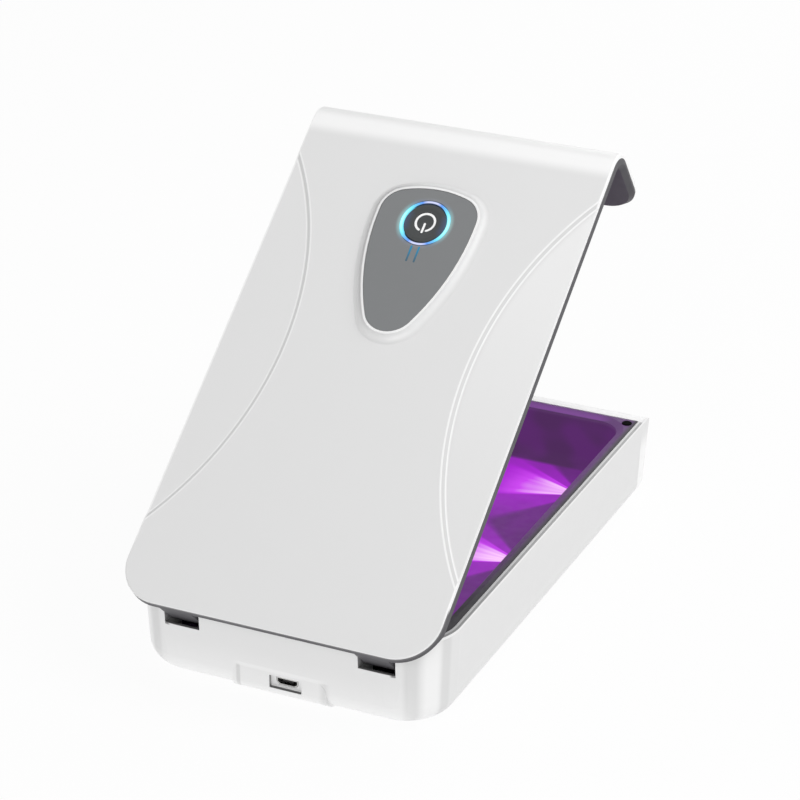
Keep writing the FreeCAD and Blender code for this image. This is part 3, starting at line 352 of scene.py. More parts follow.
def on_lid_point(tree, centre=RING_CENTRE):
    """Object coordinates along the lid's own axes, from the ring's centre or another point of the lid."""
    made = add(tree, "ShaderNodeMapping", {
        "Vector": object_point(tree), "Location": tuple(centre), "Rotation": (LID_ANGLE, 0, 0),
    }, vector_type="TEXTURE")
    return made.outputs[0]


def axes(tree, point):
    """The three coordinates of a point."""
    return add(tree, "ShaderNodeSeparateXYZ", {0: point}).outputs


def noise(tree, point, scale, detail=2.0):
    """A soft noise between 0 and 1."""
    made = add(tree, "ShaderNodeTexNoise", {"Vector": point, "Scale": scale, "Detail": detail})
    return made.outputs["Fac"]


def uneven(tree, point, scale, low, high):
    """A value that wanders between low and high over a face."""
    return fade(tree, noise(tree, point, scale), *NOISE_RANGE, low, high)


def grain(tree, point, scale, depth):
    """The fine texture of a moulded face, as a bumped normal."""
    height = noise(tree, point, scale)
    return add(tree, "ShaderNodeBump", {"Strength": 1.0, "Distance": depth, "Height": height}).outputs[0]


def close_tree(tree, shader):
    """Links a shader to the material's output."""
    tree.links.new(shader.outputs[0], add(tree, "ShaderNodeOutputMaterial").inputs["Surface"])


def coat(tree, values):
    """Ends a material in one shader, whose inputs are values or sockets."""
    close_tree(tree, add(tree, "ShaderNodeBsdfPrincipled", values))


def dress(material, *nodes):
    """Puts one finish on CAD nodes."""
    for name in nodes:
        slots = frame["nodes"][name].data.materials
        slots.clear()
        slots.append(material)


# Plain finishes. A gloss is a noise scale and two roughnesses, a grain a noise scale and a depth

MOULDING_GLOSS = 0.05
METAL_GLOSS = 0.06
METAL_DARK = 0.85
DRAWN_SCALE = (1.0, 12.0, 1.0)
DRAWN_LINES = 900.0
PRINT_DEEP = (0.86, 0.86, 0.86)
PRINT_PALE = (0.92, 0.92, 0.92)
PRINT_GLOW = 0.12
PRINT_MOTTLE = 300.0
LAMP_MOTTLE = 700.0
LAMP_HOT = (0.9, 0.7, 1.0)
QUARTZ = (0.93, 0.88, 1.0)
QUARTZ_IOR = 1.46
QUARTZ_GLOSS = (900.0, 0.02, 0.08)
DARK_GRAIN = (2600.0, 0.012 * MM)
FOOT_GRAIN = (1800.0, 0.03 * MM)
RUBBER_GRAIN = (1800.0, 0.02 * MM)
BOARD_GRAIN = (1500.0, 0.01 * MM)
EPOXY_GRAIN = (2600.0, 0.01 * MM)
NYLON_GRAIN = (2400.0, 0.01 * MM)
FILM_GRAIN = (2400.0, 0.004 * MM)


def moulding(name, colour, roughness, scale, depth, spread=0.04, shine=0.5):
    """Moulded plastic or rubber: a colour that drifts slightly, uneven gloss and a fine grain."""
    material, tree = new_material(name)
    point = object_point(tree)
    pale = tuple(min(1.0, part * (1 + spread)) for part in colour)
    gloss = (roughness - MOULDING_GLOSS, roughness + MOULDING_GLOSS)
    coat(tree, {
        "Base Color": blend(tree, noise(tree, point, COLOUR_DRIFT), rgba(colour, 1 - spread), rgba(pale)),
        "Roughness": uneven(tree, point, GLOSS_DRIFT, *gloss),
        "Specular IOR Level": shine,
        "Normal": grain(tree, point, scale, depth),
    })
    return material


def metal(name, colour, roughness):
    """Plain metal with fine drawn lines."""
    material, tree = new_material(name)
    drawn = add(tree, "ShaderNodeMapping", {"Vector": object_point(tree), "Scale": DRAWN_SCALE}).outputs[0]
    lines = noise(tree, drawn, DRAWN_LINES)
    coat(tree, {
        "Base Color": blend(tree, lines, rgba(colour, METAL_DARK), rgba(colour)),
        "Metallic": 1.0,
        "Roughness": fade(tree, lines, *NOISE_RANGE, roughness - METAL_GLOSS, roughness + METAL_GLOSS),
    })
    return material


def print_finish():
    """White print, faintly lit from behind."""
    material, tree = new_material("white_print")
    mottled = noise(tree, object_point(tree), PRINT_MOTTLE)
    coat(tree, {
        "Base Color": blend(tree, mottled, rgba(PRINT_DEEP), rgba(PRINT_PALE)),
        "Roughness": 0.5,
        "Emission Color": (1, 1, 1, 1),
        "Emission Strength": PRINT_GLOW,
    })
    return material


def glowing(name, colour, strength):
    """A lit emitter with hotter spots."""
    material, tree = new_material(name)
    mottled = noise(tree, object_point(tree), LAMP_MOTTLE)
    coat(tree, {
        "Base Color": rgba(colour),
        "Roughness": 0.35,
        "Emission Color": blend(tree, mottled, rgba(colour), rgba(LAMP_HOT)),
        "Emission Strength": strength,
    })
    return material


def quartz_finish():
    """Clear quartz with a violet cast."""
    material, tree = new_material("quartz_window")
    coat(tree, {
        "Base Color": rgba(QUARTZ),
        "Roughness": uneven(tree, object_point(tree), *QUARTZ_GLOSS),
        "Transmission Weight": 1.0,
        "IOR": QUARTZ_IOR,
    })
    return material


# White finishes, with painted highlights, reflections and shade. A mark's range is a start and an end of
# its fade, with two levels where they aren't 0 and 1

WHITE_GLOSS = (GLOSS_DRIFT, 0.30, 0.38)
WHITE_DRIFT = 0.99
WHITE_GRAIN = (2400.0, 0.004 * MM)


def white_shader(tree, point, colour, normal=None):
    """Satin white plastic in a colour, with faintly uneven gloss and a fine grain."""
    made = add(tree, "ShaderNodeBsdfPrincipled", {
        "Base Color": colour,
        "Roughness": uneven(tree, point, *WHITE_GLOSS),
    })
    scale, depth = WHITE_GRAIN
    fine = add(tree, "ShaderNodeBump", {"Distance": depth, "Height": noise(tree, point, scale)})
    if normal:
        tree.links.new(normal, fine.inputs["Normal"])
    tree.links.new(fine.outputs[0], made.inputs["Normal"])
    return made


def white_drift(tree, point, colours):
    """The white mouldings' colour, which drifts slightly."""
    share = noise(tree, point, COLOUR_DRIFT)
    return blend(tree, share, rgba(colours.shell, WHITE_DRIFT), rgba(colours.shell))


def rear_corner(tree, x, y, rear, radius):
    """A plan outline with round rear corners: the two steps into a corner and the way in from the edge."""
    step_x = most(tree, less(tree, apart(tree, x), LID_HALF - radius), 0.0)
    step_y = most(tree, less(tree, rear + radius, y), 0.0)
    return step_x, step_y, less(tree, radius, length(tree, step_x, step_y))


# Painted reflection bands down the base's corners: angle from straight back and half width in degrees, and share
DULL_REFLECTION_BANDS = ((29.0, 11.0, 0.9), (68.0, 9.0, 0.675))
LIGHT_REFLECTION_BAND = (51.0, 14.0, 0.7)
DULL_REFLECTION_TONE = 0.86


def corner_painted_reflections(tree, place, white, colours):
    """Two dull painted reflection bands and a light one down each round rear corner."""
    x, y, _ = place
    step_x, step_y, _ = rear_corner(tree, x, y, BASE_REAR, BASE_CORNER)
    turn = calc(tree, "ARCTAN2", step_x, step_y)

    def reflection_band(angle, half, share):
        return times(tree, ridge(tree, turn, math.radians(angle), math.radians(half)), share)

    dull = most(tree, *(reflection_band(*row) for row in DULL_REFLECTION_BANDS))
    white = blend(tree, dull, white, rgba(colours.shell, DULL_REFLECTION_TONE))
    return blend(tree, reflection_band(*LIGHT_REFLECTION_BAND), white, rgba(colours.painted_highlight))


NOSE_START = (TRAY_HIGH[1], TRAY_HIGH[1] + 0.5 * MM)
NOSE_SIDES = (54.8 * MM, 54.3 * MM)


def nose_painted_highlight(tree, place, white, colours):
    """The front nose, with a painted highlight between its side edges that makes it brighter than the rest."""
    x, y, _ = place
    nose = times(tree, fade(tree, y, *NOSE_START), fade(tree, apart(tree, x), *NOSE_SIDES))
    return blend(tree, nose, white, rgba(colours.bright))


REAR_LIGHT = (20.0 * MM, 2.0 * MM, 0.0, 0.6)
REAR_SIDES = (50.0 * MM, 38.0 * MM)
REAR_DEPTH = (BASE_REAR + 7.0 * MM, BASE_REAR + 4.0 * MM)


def rear_painted_light(tree, place, white, colours):
    """The rear wall, painted lighter downwards between its corners, as if lit from the table below."""
    x, y, z = place
    light = times(tree, fade(tree, z, *REAR_LIGHT), fade(tree, apart(tree, x), *REAR_SIDES),
                  fade(tree, y, *REAR_DEPTH))
    return blend(tree, light, white, rgba(colours.painted_highlight))


PAD_DEPTH = (BASE_REAR + 5.0 * MM, BASE_REAR + 4.0 * MM)
PAD_BELOW = (PAD_TOP, PAD_TOP - 0.6 * MM)
PAD_SIDES = (PAD_HALF, PAD_HALF - 3.0 * MM)
CREASE_SHADE_X = 1.9 * MM - PAD_HALF
CREASE_SHADE_HALF = 1.0 * MM
CREASE_SHADE_SHARE = 0.75
EDGE_SHADE = (PAD_HALF - 1.8 * MM, PAD_HALF + 0.4 * MM, 1.2 * MM)
EDGE_SHARE = 0.55
PAD_SHADE_TONE = 0.80
BROW_HIGHLIGHT_HALF = 1.0 * MM
BROW_HIGHLIGHT_SHARE = 0.5


def pad_painted_shading(tree, place, white, colours):
    """The inlet's pad: painted shade in a crease on its left and on its right, a painted highlight along its top.
    """
    x, y, z = place
    rear = fade(tree, y, *PAD_DEPTH)
    crease = times(tree, ridge(tree, x, CREASE_SHADE_X, CREASE_SHADE_HALF), CREASE_SHADE_SHARE)
    edge = times(tree, span(tree, x, *EDGE_SHADE), EDGE_SHARE)
    shade = times(tree, most(tree, crease, edge), rear, fade(tree, z, *PAD_BELOW))
    white = blend(tree, shade, white, rgba(colours.shell, PAD_SHADE_TONE))
    brow_highlight = times(tree, ridge(tree, z, PAD_TOP, BROW_HIGHLIGHT_HALF), fade(tree, apart(tree, x), *PAD_SIDES), rear,
                 BROW_HIGHLIGHT_SHARE)
    return blend(tree, brow_highlight, white, rgba(colours.painted_highlight))


HIGHLIGHT_BELOW_LIP = (-1.1 * MM, -0.15 * MM, 0.06 * MM)
HIGHLIGHT_LINE_SHARE = 0.8
LIP_RISE = (-0.16 * MM, -0.10 * MM)
LIP_END = (TRAY_HIGH[1], TRAY_HIGH[1] - MM)
LIP_HALVES = (LIP_WIDTH * 0.45, LIP_WIDTH * 0.55)
LIP_OUTER_SHADE = 0.46
LIP_INNER_SHADE = 0.85


def lip_painted_shading(tree, place, white, colours):
    """A painted highlight line below the tray's lip, and painted shade on it: dark outside, dull on its inner
    half.
    """
    x, y, z = place
    rise = less(tree, z, BASE_TOP)
    line = times(tree, span(tree, rise, *HIGHLIGHT_BELOW_LIP), HIGHLIGHT_LINE_SHARE)
    white = blend(tree, line, white, rgba(colours.painted_highlight))
    _, _, inset = rear_corner(tree, x, y, BASE_REAR, BASE_CORNER)
    lip = blend(tree, fade(tree, inset, *LIP_HALVES), rgba(colours.shell, LIP_OUTER_SHADE),
                rgba(colours.shell, LIP_INNER_SHADE))
    return blend(tree, times(tree, fade(tree, rise, *LIP_RISE), fade(tree, y, *LIP_END)), white, lip)


NOTCH_SPAN = (NOTCH_X - NOTCH_HALF, NOTCH_X + NOTCH_HALF, 0.05 * MM)
NOTCH_DEPTH = (0.2 * MM, 14.0 * MM, 0.08 * MM)
NOTCH_START = (NOTCH_LOW - 1.0 * MM, NOTCH_LOW - 0.4 * MM)
NOTCH_SILL = (NOTCH_LOW + 0.3 * MM, NOTCH_LOW + 0.1 * MM)
NOTCH_SILL_SHADE_TONE = 0.25


def notch_painted_shade(tree, place, white, colours):
    """Painted shade inside the hinge notches, as dark as the liner above a paler sill."""
    x, y, z = place
    lean = times(tree, less(tree, z, BASE_TOP), WALL_DRAFT)
    behind = less(tree, y, less(tree, BASE_REAR, lean))
    notch = times(tree, span(tree, apart(tree, x), *NOTCH_SPAN), span(tree, behind, *NOTCH_DEPTH),
                  fade(tree, z, *NOTCH_START))
    dark = blend(tree, fade(tree, z, *NOTCH_SILL), rgba(colours.liner), rgba(colours.shell, NOTCH_SILL_SHADE_TONE))
    return blend(tree, notch, white, dark)


INLET_SIDES = (6.3 * MM, 6.0 * MM)
INLET_ENDS = (2.9 * MM, 2.6 * MM)
INLET_DEPTH = (INLET[1] - 1.38 * MM, INLET[1] - 0.12 * MM, 0.06 * MM)
INLET_SILL = (INLET[2] - 2.0 * MM, INLET[2] - 2.2 * MM)
INLET_SHADE_TONE = 0.40
INLET_SILL_SHADE_TONE = 0.13


def inlet_painted_shade(tree, place, white, colours):
    """Painted shade inside the power inlet's recess, darker on its sill."""
    x, y, z = place
    inlet = times(tree, fade(tree, apart(tree, x, INLET[0]), *INLET_SIDES),
                  fade(tree, apart(tree, z, INLET[2]), *INLET_ENDS), span(tree, y, *INLET_DEPTH))
    shade = blend(tree, fade(tree, z, *INLET_SILL), rgba(colours.shell, INLET_SHADE_TONE),
                  rgba(colours.shell, INLET_SILL_SHADE_TONE))
    return blend(tree, inlet, white, shade)


BASE_PAINTED_LIGHT_AND_SHADE = (corner_painted_reflections, nose_painted_highlight, rear_painted_light, pad_painted_shading, lip_painted_shading, notch_painted_shade, inlet_painted_shade)


def base_finish(colours):
    """Satin white shell with its painted highlights, reflections and shade, each laid over the ones before it."""
    material, tree = new_material("satin_white_base")
    point = object_point(tree)
    place = axes(tree, point)
    white = white_drift(tree, point, colours)
    for mark in BASE_PAINTED_LIGHT_AND_SHADE:
        white = mark(tree, place, white, colours)
    close_tree(tree, white_shader(tree, point, white))
    return material


STEP_SOFT = 0.1 * MM
STEP_SHADE_TONE = 0.86
FOLD_HIGHLIGHT_HALF = 0.42 * MM
EDGE_HIGHLIGHT_INSET = (0.75 * MM, 0.35 * MM)
EDGE_HIGHLIGHT_START = (4.0 * MM, 16.0 * MM)
CREST_HIGHLIGHT_RANGE = (CREST_Z - 0.04 * MM, CREST_Z - 0.012 * MM)
SHEEN_INSET = (FACET_LOW_R, FACET_LOW_R - 2.0 * MM)
SHEEN_ACROSS = (0.0, 20.0 * MM)
SHEEN_ALONG = (10.0 * MM, 185.0 * MM, 0.0, 0.7)
BEND_SPAN = (BEND_Y - 3.5 * MM, BEND_Y + 4.0 * MM, 2.5 * MM)
SLOPE_SPAN = (0.25, 0.97, 0.2)
SLOPE_ACROSS = (-4.0 * MM, -14.0 * MM, 0.0, 0.75)
SLOPE_SHADE_TONE = 0.80
REAR_LIP_LOW = (LINER_TOP + 0.98 * MM, LINER_TOP + 0.86 * MM)
REAR_LIP_END = (LID_CORNER, LID_CORNER - 3.0 * MM)


def cover_finish(colours):
    """Satin white lid with painted highlights along its folds and edges.

    Each side facet meets the lid in a shallow step between two arcs of one centre, with a painted highlight
    along both and painted shade between them, and the right facet has a painted sheen. The lid's outline is a
    rectangle with round rear corners, and its edge has a painted highlight as well, as do the mound's crest
    round the badge and the bend. The mound's left slope has painted shade. The lid's rear edge is dark low
    down, where the liner's lip comes round it. The mound's straight slope is lit as a hollow one, which rises
    with the square of the way up from its foot.
    """
    material, tree = new_material("satin_white_cover")
    point = object_point(tree)
    x, y, z = axes(tree, on_lid_point(tree, PIVOT))
    sweep = length(tree, less(tree, FACET_X, apart(tree, x)), less(tree, y, FACET_Y))
    # Painted shade on the step between the two fold arcs
    step = span(tree, sweep, FACET_LOW_R, FACET_TOP_R, STEP_SOFT)
    white = blend(tree, step, white_drift(tree, point, colours), rgba(colours.shell, STEP_SHADE_TONE))

    # Painted highlights along the folds, the edge and the crest, and a painted sheen on the right facet
    folds = [ridge(tree, sweep, radius, FOLD_HIGHLIGHT_HALF) for radius in (FACET_TOP_R, FACET_LOW_R)]
    _, _, inset = rear_corner(tree, x, y, LID_REAR, LID_CORNER)
    edge = times(tree, fade(tree, inset, *EDGE_HIGHLIGHT_INSET), fade(tree, y, *EDGE_HIGHLIGHT_START))
    crest = fade(tree, z, *CREST_HIGHLIGHT_RANGE)
    sheen = times(tree, fade(tree, sweep, *SHEEN_INSET), fade(tree, x, *SHEEN_ACROSS),
                  fade(tree, y, *SHEEN_ALONG))
    white = blend(tree, most(tree, *folds, edge, crest, sheen), white, rgba(colours.painted_highlight))
    # Painted highlight over the bend
    white = blend(tree, span(tree, y, *BEND_SPAN), white, rgba(colours.bright))

    up = add(tree, "ShaderNodeMapRange", {0: z, 1: CREST_Z - MOUND_HEIGHT, 2: CREST_Z}).outputs[0]
    # Painted shade on the mound's left slope
    slope = times(tree, span(tree, up, *SLOPE_SPAN), fade(tree, x, *SLOPE_ACROSS))
    white = blend(tree, slope, white, rgba(colours.shell, SLOPE_SHADE_TONE))
    lip = times(tree, fade(tree, z, *REAR_LIP_LOW), fade(tree, y, *REAR_LIP_END))
    white = blend(tree, lip, white, rgba(colours.liner))
    hollow = times(tree, up, less(tree, up, 1.0))
    rounded = add(tree, "ShaderNodeBump", {"Strength": 1.0, "Distance": MOUND_HEIGHT, "Height": hollow})
    close_tree(tree, white_shader(tree, point, white, rounded.outputs[0]))
    return material


# Light in the cavity, painted as a glow. Angles of a fan are radians from straight inwards: from, to and softness

FAN_X = 42.8 * MM
FAN_LAG = 4.0 * MM
FAN_CORES = ((-0.38, 0.52, 0.03), (-0.34, 0.38, 0.05))
CORE_SHARE = 0.5
CORE_REACH = (42.0 * MM, 6.0 * MM)
FAN_SKIRT = (-0.92, 0.80, 0.07)
SKIRT_REACH = (75.0 * MM, 10.0 * MM, 0.0, 0.24)
RAY_OFFSET = 40.0
RAY_SCALE = 9.0
RAY_RANGE = (0.25, 0.75, 0.53, 0.64)
FLOOR_LEVEL = 0.105
FLOOR_EDGE = (FLOOR_Z + 2.4 * MM, FLOOR_Z)
FLOOR_END = (80.0 * MM, 77.5 * MM)
MOTTLE_SCALE = 70.0
MOTTLE_RANGE = (0.35, 0.65, 0.0, 0.05)
RIM_FACE = (RIM_Z - 1.35 * MM, RIM_Z - 1.15 * MM)
RIM_LEVEL = 0.25
INSIDE_EDGE = (0.8 * MM, 0.3 * MM)
INSIDE_TOP = (RIM_Z - 0.6 * MM, RIM_Z - 1.8 * MM)
INSIDE_LOW = (FLOOR_Z - 1.0 * MM, FLOOR_Z - 0.6 * MM)
FRONT_TINT = (4.5 * MM, 0.4 * MM, 0.22, 0.76)
FRONT_START = (-0.2 * MM, 0.3 * MM)
FRONT_SIDES = (51.0 * MM, 38.0 * MM)
SIDE_TINT = (4.2 * MM, 1.6 * MM, 0.0, 0.4)
SIDE_ALONG = (-80.0 * MM, 20.0 * MM)
HINGE_END = (-66.0 * MM, -32.0 * MM)
CAVITY_SHADE_BLACK = (0.009, 0.008, 0.010)
CAVITY_SHADE_START = (RIM_Z - 1.0 * MM, RIM_Z - 3.0 * MM)
TRAY_MOTTLE = 60.0
TRAY_DRIFT = 0.92
TRAY_GLOSS = (300.0, 0.50, 0.62)
TRAY_SHINE = 0.07


def fan(tree, x, y, side, row):
    """One lamp's light on the floor, as a level from 0 to 1.

    The light starts at a point under the lamp's wall and spreads inwards: a bright core of uneven rays, a
    narrower one within it, and a dim skirt on both sides. Each is a range of angles and fades with distance.
    """
    away = less(tree, FAN_X, times(tree, x, side))
    aside = less(tree, y, row - FAN_LAG)
    angle = calc(tree, "ARCTAN2", aside, away)
    reach = length(tree, away, aside)
    turned = add(tree, "ShaderNodeCombineXYZ", {0: angle, 1: row * RAY_OFFSET}).outputs[0]
    rays = fade(tree, noise(tree, turned, RAY_SCALE, 1.0), *RAY_RANGE)
    both = calc(tree, "ADD", *(span(tree, angle, *core) for core in FAN_CORES))
    core = times(tree, both, CORE_SHARE, rays, fade(tree, reach, *CORE_REACH))
    skirt = times(tree, span(tree, angle, *FAN_SKIRT), fade(tree, reach, *SKIRT_REACH))
    return calc(tree, "ADD", core, skirt)


def cavity_colour(tree, point, place, colours):
    """The light's colour: a fan from each lamp on the floor, dusk on the walls and plum on the rim."""
    x, y, z = place
    level = FLOOR_LEVEL
    for side in SIDES:
        for row in LAMP_ROWS:
            level = calc(tree, "ADD", level, fan(tree, x, y, side, row))
    level = times(tree, level, fade(tree, z, *FLOOR_EDGE), fade(tree, y, *FLOOR_END))
    level = calc(tree, "ADD", level, fade(tree, noise(tree, point, MOTTLE_SCALE, 1.0), *MOTTLE_RANGE))
    rim = times(tree, fade(tree, z, *RIM_FACE), RIM_LEVEL)
    level = calc(tree, "MAXIMUM", level, rim, clamp=True)
    return ramp(tree, level, colours.dusk, colours.glare,
                ((0.25, colours.plum), (0.48, colours.violet), (0.70, colours.orchid)))


def cavity_strength(tree, place):
    """The light's strength: full in the cavity, a tint that fades over the rim, none at the hinge end."""
    x, y, z = place
    middle = (CAVITY_LOW[1] + CAVITY_HIGH[1]) / 2
    half = (CAVITY_HIGH[1] - CAVITY_LOW[1]) / 2 + WALL_EDGE
    out_x = less(tree, apart(tree, x), WALL_X)
    out_y = less(tree, apart(tree, y, middle), half)
    inside = times(tree, fade(tree, most(tree, out_x, out_y), *INSIDE_EDGE), fade(tree, z, *INSIDE_TOP))
    ahead = less(tree, y, CAVITY_HIGH[1] + WALL_EDGE)
    front = times(tree, fade(tree, ahead, *FRONT_TINT), fade(tree, ahead, *FRONT_START),
                  fade(tree, apart(tree, x), *FRONT_SIDES))
    beside = times(tree, fade(tree, out_x, *SIDE_TINT), fade(tree, y, *SIDE_ALONG))
    tint = times(tree, fade(tree, z, *RIM_FACE), most(tree, front, beside))
    return times(tree, most(tree, inside, tint), fade(tree, y, *HINGE_END), fade(tree, z, *INSIDE_LOW))


def lit_tray_finish(colours):
    """Dark tray plastic, painted near black below the rim as shade, with the lamps' violet light painted over
    the cavity and its rim as a glow.
    """
    material, tree = new_material("violet_lit_tray")
    point = object_point(tree)
    place = axes(tree, point)
    mottled = noise(tree, point, TRAY_MOTTLE)
    plastic = blend(tree, mottled, rgba(colours.liner, TRAY_DRIFT), rgba(colours.liner))
    coat(tree, {
        # Painted shade: near black below the rim
        "Base Color": blend(tree, fade(tree, place[2], *CAVITY_SHADE_START), plastic, rgba(CAVITY_SHADE_BLACK)),
        "Roughness": uneven(tree, point, *TRAY_GLOSS),
        "Specular IOR Level": TRAY_SHINE,
        "Normal": grain(tree, point, *DARK_GRAIN),
        "Emission Color": cavity_colour(tree, point, place, colours),
        "Emission Strength": cavity_strength(tree, place),
    })
    return material


# Badge and ring. A share is how much of a direction from the ring's centre goes sideways, squared

BLUE_CYAN_MIX = (0.55, 0.45)
RING_R = 8.15 * MM
RING_EDGE = (0.2 * MM, 0.6 * MM)
RING_EDGE_SHARE = 0.75
RING_HALF = (0.05, 0.8, 0.36 * MM, 0.62 * MM)
RING_FADE = (0.08 * MM, -0.08 * MM, 0.06, 1.0)
RING_UNLIT = (0.03, 0.05, 0.07)
RING_GLOSS = (400.0, 0.3, 0.45)
BADGE_ROUGHNESS = 0.42
CAP_ROUGHNESS = 0.40
GLOW_MOTTLE = 120.0
GLOW_DRIFT = 0.96
GLOW_SCALE = 500.0
GLOW_GLOSS = 0.04
GLOW_GRAIN = (3200.0, 0.006 * MM)
HALO_INSET = 0.9 * MM
HALO_RANGE = (0.1, 0.9, 0.05, 0.26)
GLEAM_REACH = 2.2
GLEAM_RANGE = (0.55, 1.0, 0.0, 0.11)
STREAK_ALONG = (-15.6 * MM, -9.0 * MM)
STREAK_UNLIT = (0.02, 0.03, 0.04)
STREAK_GREY = (0.055, 0.105, 0.14)
STREAK_GLOSS = (400.0, 0.35, 0.5)
STREAK_SHINE = 0.1


def ring_glow(tree, point, colours):
    """The ring's colour round its circle: hot at both sides, then cyan and blue, pale at hinge and front.

    Gives the colour, the sideways share of the direction from the centre, and the radius.
    """
    x, y, _ = axes(tree, point)
    square = times(tree, x, x)
    total = calc(tree, "ADD", square, times(tree, y, y))
    share = calc(tree, "DIVIDE", square, total)
    mixed = [sum(np.multiply(pair, BLUE_CYAN_MIX)) for pair in zip(colours.blue, colours.cyan)]
    glow = ramp(tree, share, colours.lavender, colours.frost,
                ((0.04, colours.lavender), (0.17, colours.blue), (0.42, mixed), (0.64, colours.cyan)))
    return glow, share, calc(tree, "SQRT", total)


def ring_finish(colours):
    """Frosted light guide, lit from below, that dims and turns bluer at its inner and outer edges."""
    material, tree = new_material("lit_ring")
    point = on_lid_point(tree)
    colour, share, radius = ring_glow(tree, point, colours)
    away = apart(tree, radius, RING_R)
    edge = times(tree, fade(tree, away, *RING_EDGE), RING_EDGE_SHARE)
    half = fade(tree, share, *RING_HALF)
    dim = blend(tree, share, rgba(colours.blue), rgba(colours.cyan))
    coat(tree, {
        "Base Color": rgba(RING_UNLIT),
        "Roughness": uneven(tree, point, *RING_GLOSS),
        "Emission Color": blend(tree, edge, colour, dim),
        "Emission Strength": fade(tree, less(tree, away, half), *RING_FADE),
    })
    return material


def satin_glow(name, colour, roughness, tree_glow):
    """A satin face with a painted glow over it, which a function adds as a colour and a strength."""
    material, tree = new_material(name)
    point = on_lid_point(tree)
    glow, strength = tree_glow(tree, point)
    coat(tree, {
        "Base Color": blend(tree, noise(tree, point, GLOW_MOTTLE), rgba(colour, GLOW_DRIFT), rgba(colour)),
        "Roughness": uneven(tree, point, GLOW_SCALE, roughness - GLOW_GLOSS, roughness + GLOW_GLOSS),
        "Normal": grain(tree, point, *GLOW_GRAIN),
        "Emission Color": glow,
        "Emission Strength": strength,
    })
    return material


def badge_finish(colours, sizes):
    """Grey satin inlay with a thin painted halo of the ring's light."""
    outer = (RING_HIGH[0] - RING_LOW[0]) / 2 - HALO_INSET

    def halo(tree, point):
        glow, share, radius = ring_glow(tree, point, colours)
        near = fade(tree, less(tree, radius, outer), sizes.halo_reach, 0.0)
        return glow, times(tree, near, fade(tree, share, *HALO_RANGE))

    return satin_glow("badge_inlay", colours.badge, BADGE_ROUGHNESS, halo)


def button_finish(colours, sizes):
    """Charcoal satin cap with a faint painted blue gleam of the ring's light inside its left and right edges."""
    def gleam(tree, point):
        _, share, radius = ring_glow(tree, point, colours)
        near = fade(tree, less(tree, BUTTON_HIGH[0], radius), sizes.halo_reach * GLEAM_REACH, 0.0)
        return rgba(colours.blue), times(tree, near, fade(tree, share, *GLEAM_RANGE))

    return satin_glow("charcoal_cap", colours.button, CAP_ROUGHNESS, gleam)


def streak_finish(colours):
    """Light streaks that dim and grey towards the hinge."""
    material, tree = new_material("dim_streaks")
    point = on_lid_point(tree)
    along = fade(tree, axes(tree, point)[1], *STREAK_ALONG)
    coat(tree, {
        "Base Color": rgba(STREAK_UNLIT),
        "Roughness": uneven(tree, point, *STREAK_GLOSS),
        "Specular IOR Level": STREAK_SHINE,
        "Emission Color": blend(tree, along, rgba(STREAK_GREY), rgba(colours.streak)),
        "Emission Strength": 1.0,
    })
    return material


# Meshes

WELD = 0.0005 * MM
SHARP_ANGLE = math.radians(35)
SECTION_POINTS = 16
SECTION_POWER = 0.35
END_TAPER = 0.125
ARC_POINTS = 120
BAR_POINTS = 60
SCREW_GAP = 5 * MM
TIP_BAND = 0.01 * MM
SCREW_POINTS = 72
FACE_RINGS = 22
EDGE_RINGS = 6

# Shares of a screw's head radius or height, and of its shank's radius for the tip
RIM_SHARE = 0.95
BEVEL_SHARE = 0.3
TIP_SHARE = 0.4
SLOT_SOFT = 0.05
SLOT_LENGTH = 0.62
SLOT_DEPTH = 0.55


def grid_faces(rows, columns):
    """Quads between neighbouring points of a grid whose columns close into loops."""
    row, column = np.meshgrid(np.arange(rows - 1), np.arange(columns), indexing="ij")
    following = (column + 1) % columns
    quads = [row * columns + column, row * columns + following,
             (row + 1) * columns + following, (row + 1) * columns + column]
    return np.stack(quads, -1).reshape(-1, 4)


def make_piece(name, grids, material, body):
    """One smooth mesh object of closed grids, welded at their poles, that rides on a body."""
    mesh = bpy.data.meshes.new(name)
    starts = np.cumsum([0] + [grid.shape[0] * grid.shape[1] for grid in grids])
    faces = [grid_faces(*grid.shape[:2]) + start for grid, start in zip(grids, starts)]
    points = np.concatenate([grid.reshape(-1, 3) for grid in grids])
    mesh.from_pydata(points.tolist(), [], np.concatenate(faces).tolist())
    work = bmesh.new()
    work.from_mesh(mesh)
    bmesh.ops.remove_doubles(work, verts=work.verts, dist=WELD)
    bmesh.ops.recalc_face_normals(work, faces=work.faces)
    work.to_mesh(mesh)
    work.free()
    mesh.shade_smooth()
    mesh.set_sharp_from_angle(angle=SHARP_ANGLE)
    piece = bpy.data.objects.new(name, mesh)
    bpy.context.scene.collection.objects.link(piece)
    mesh.materials.append(material)
    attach(piece, body)
    return piece


def on_dish(x, y, lift):
    """Points of the shut lid on the button's dish, a sphere's hollow, raised by a lift."""
    depth = DISH_R - np.sqrt(DISH_R ** 2 - x ** 2 - y ** 2) - DISH_DEPTH
    return BUTTON_TOP + np.stack([x, y, depth + lift], -1)


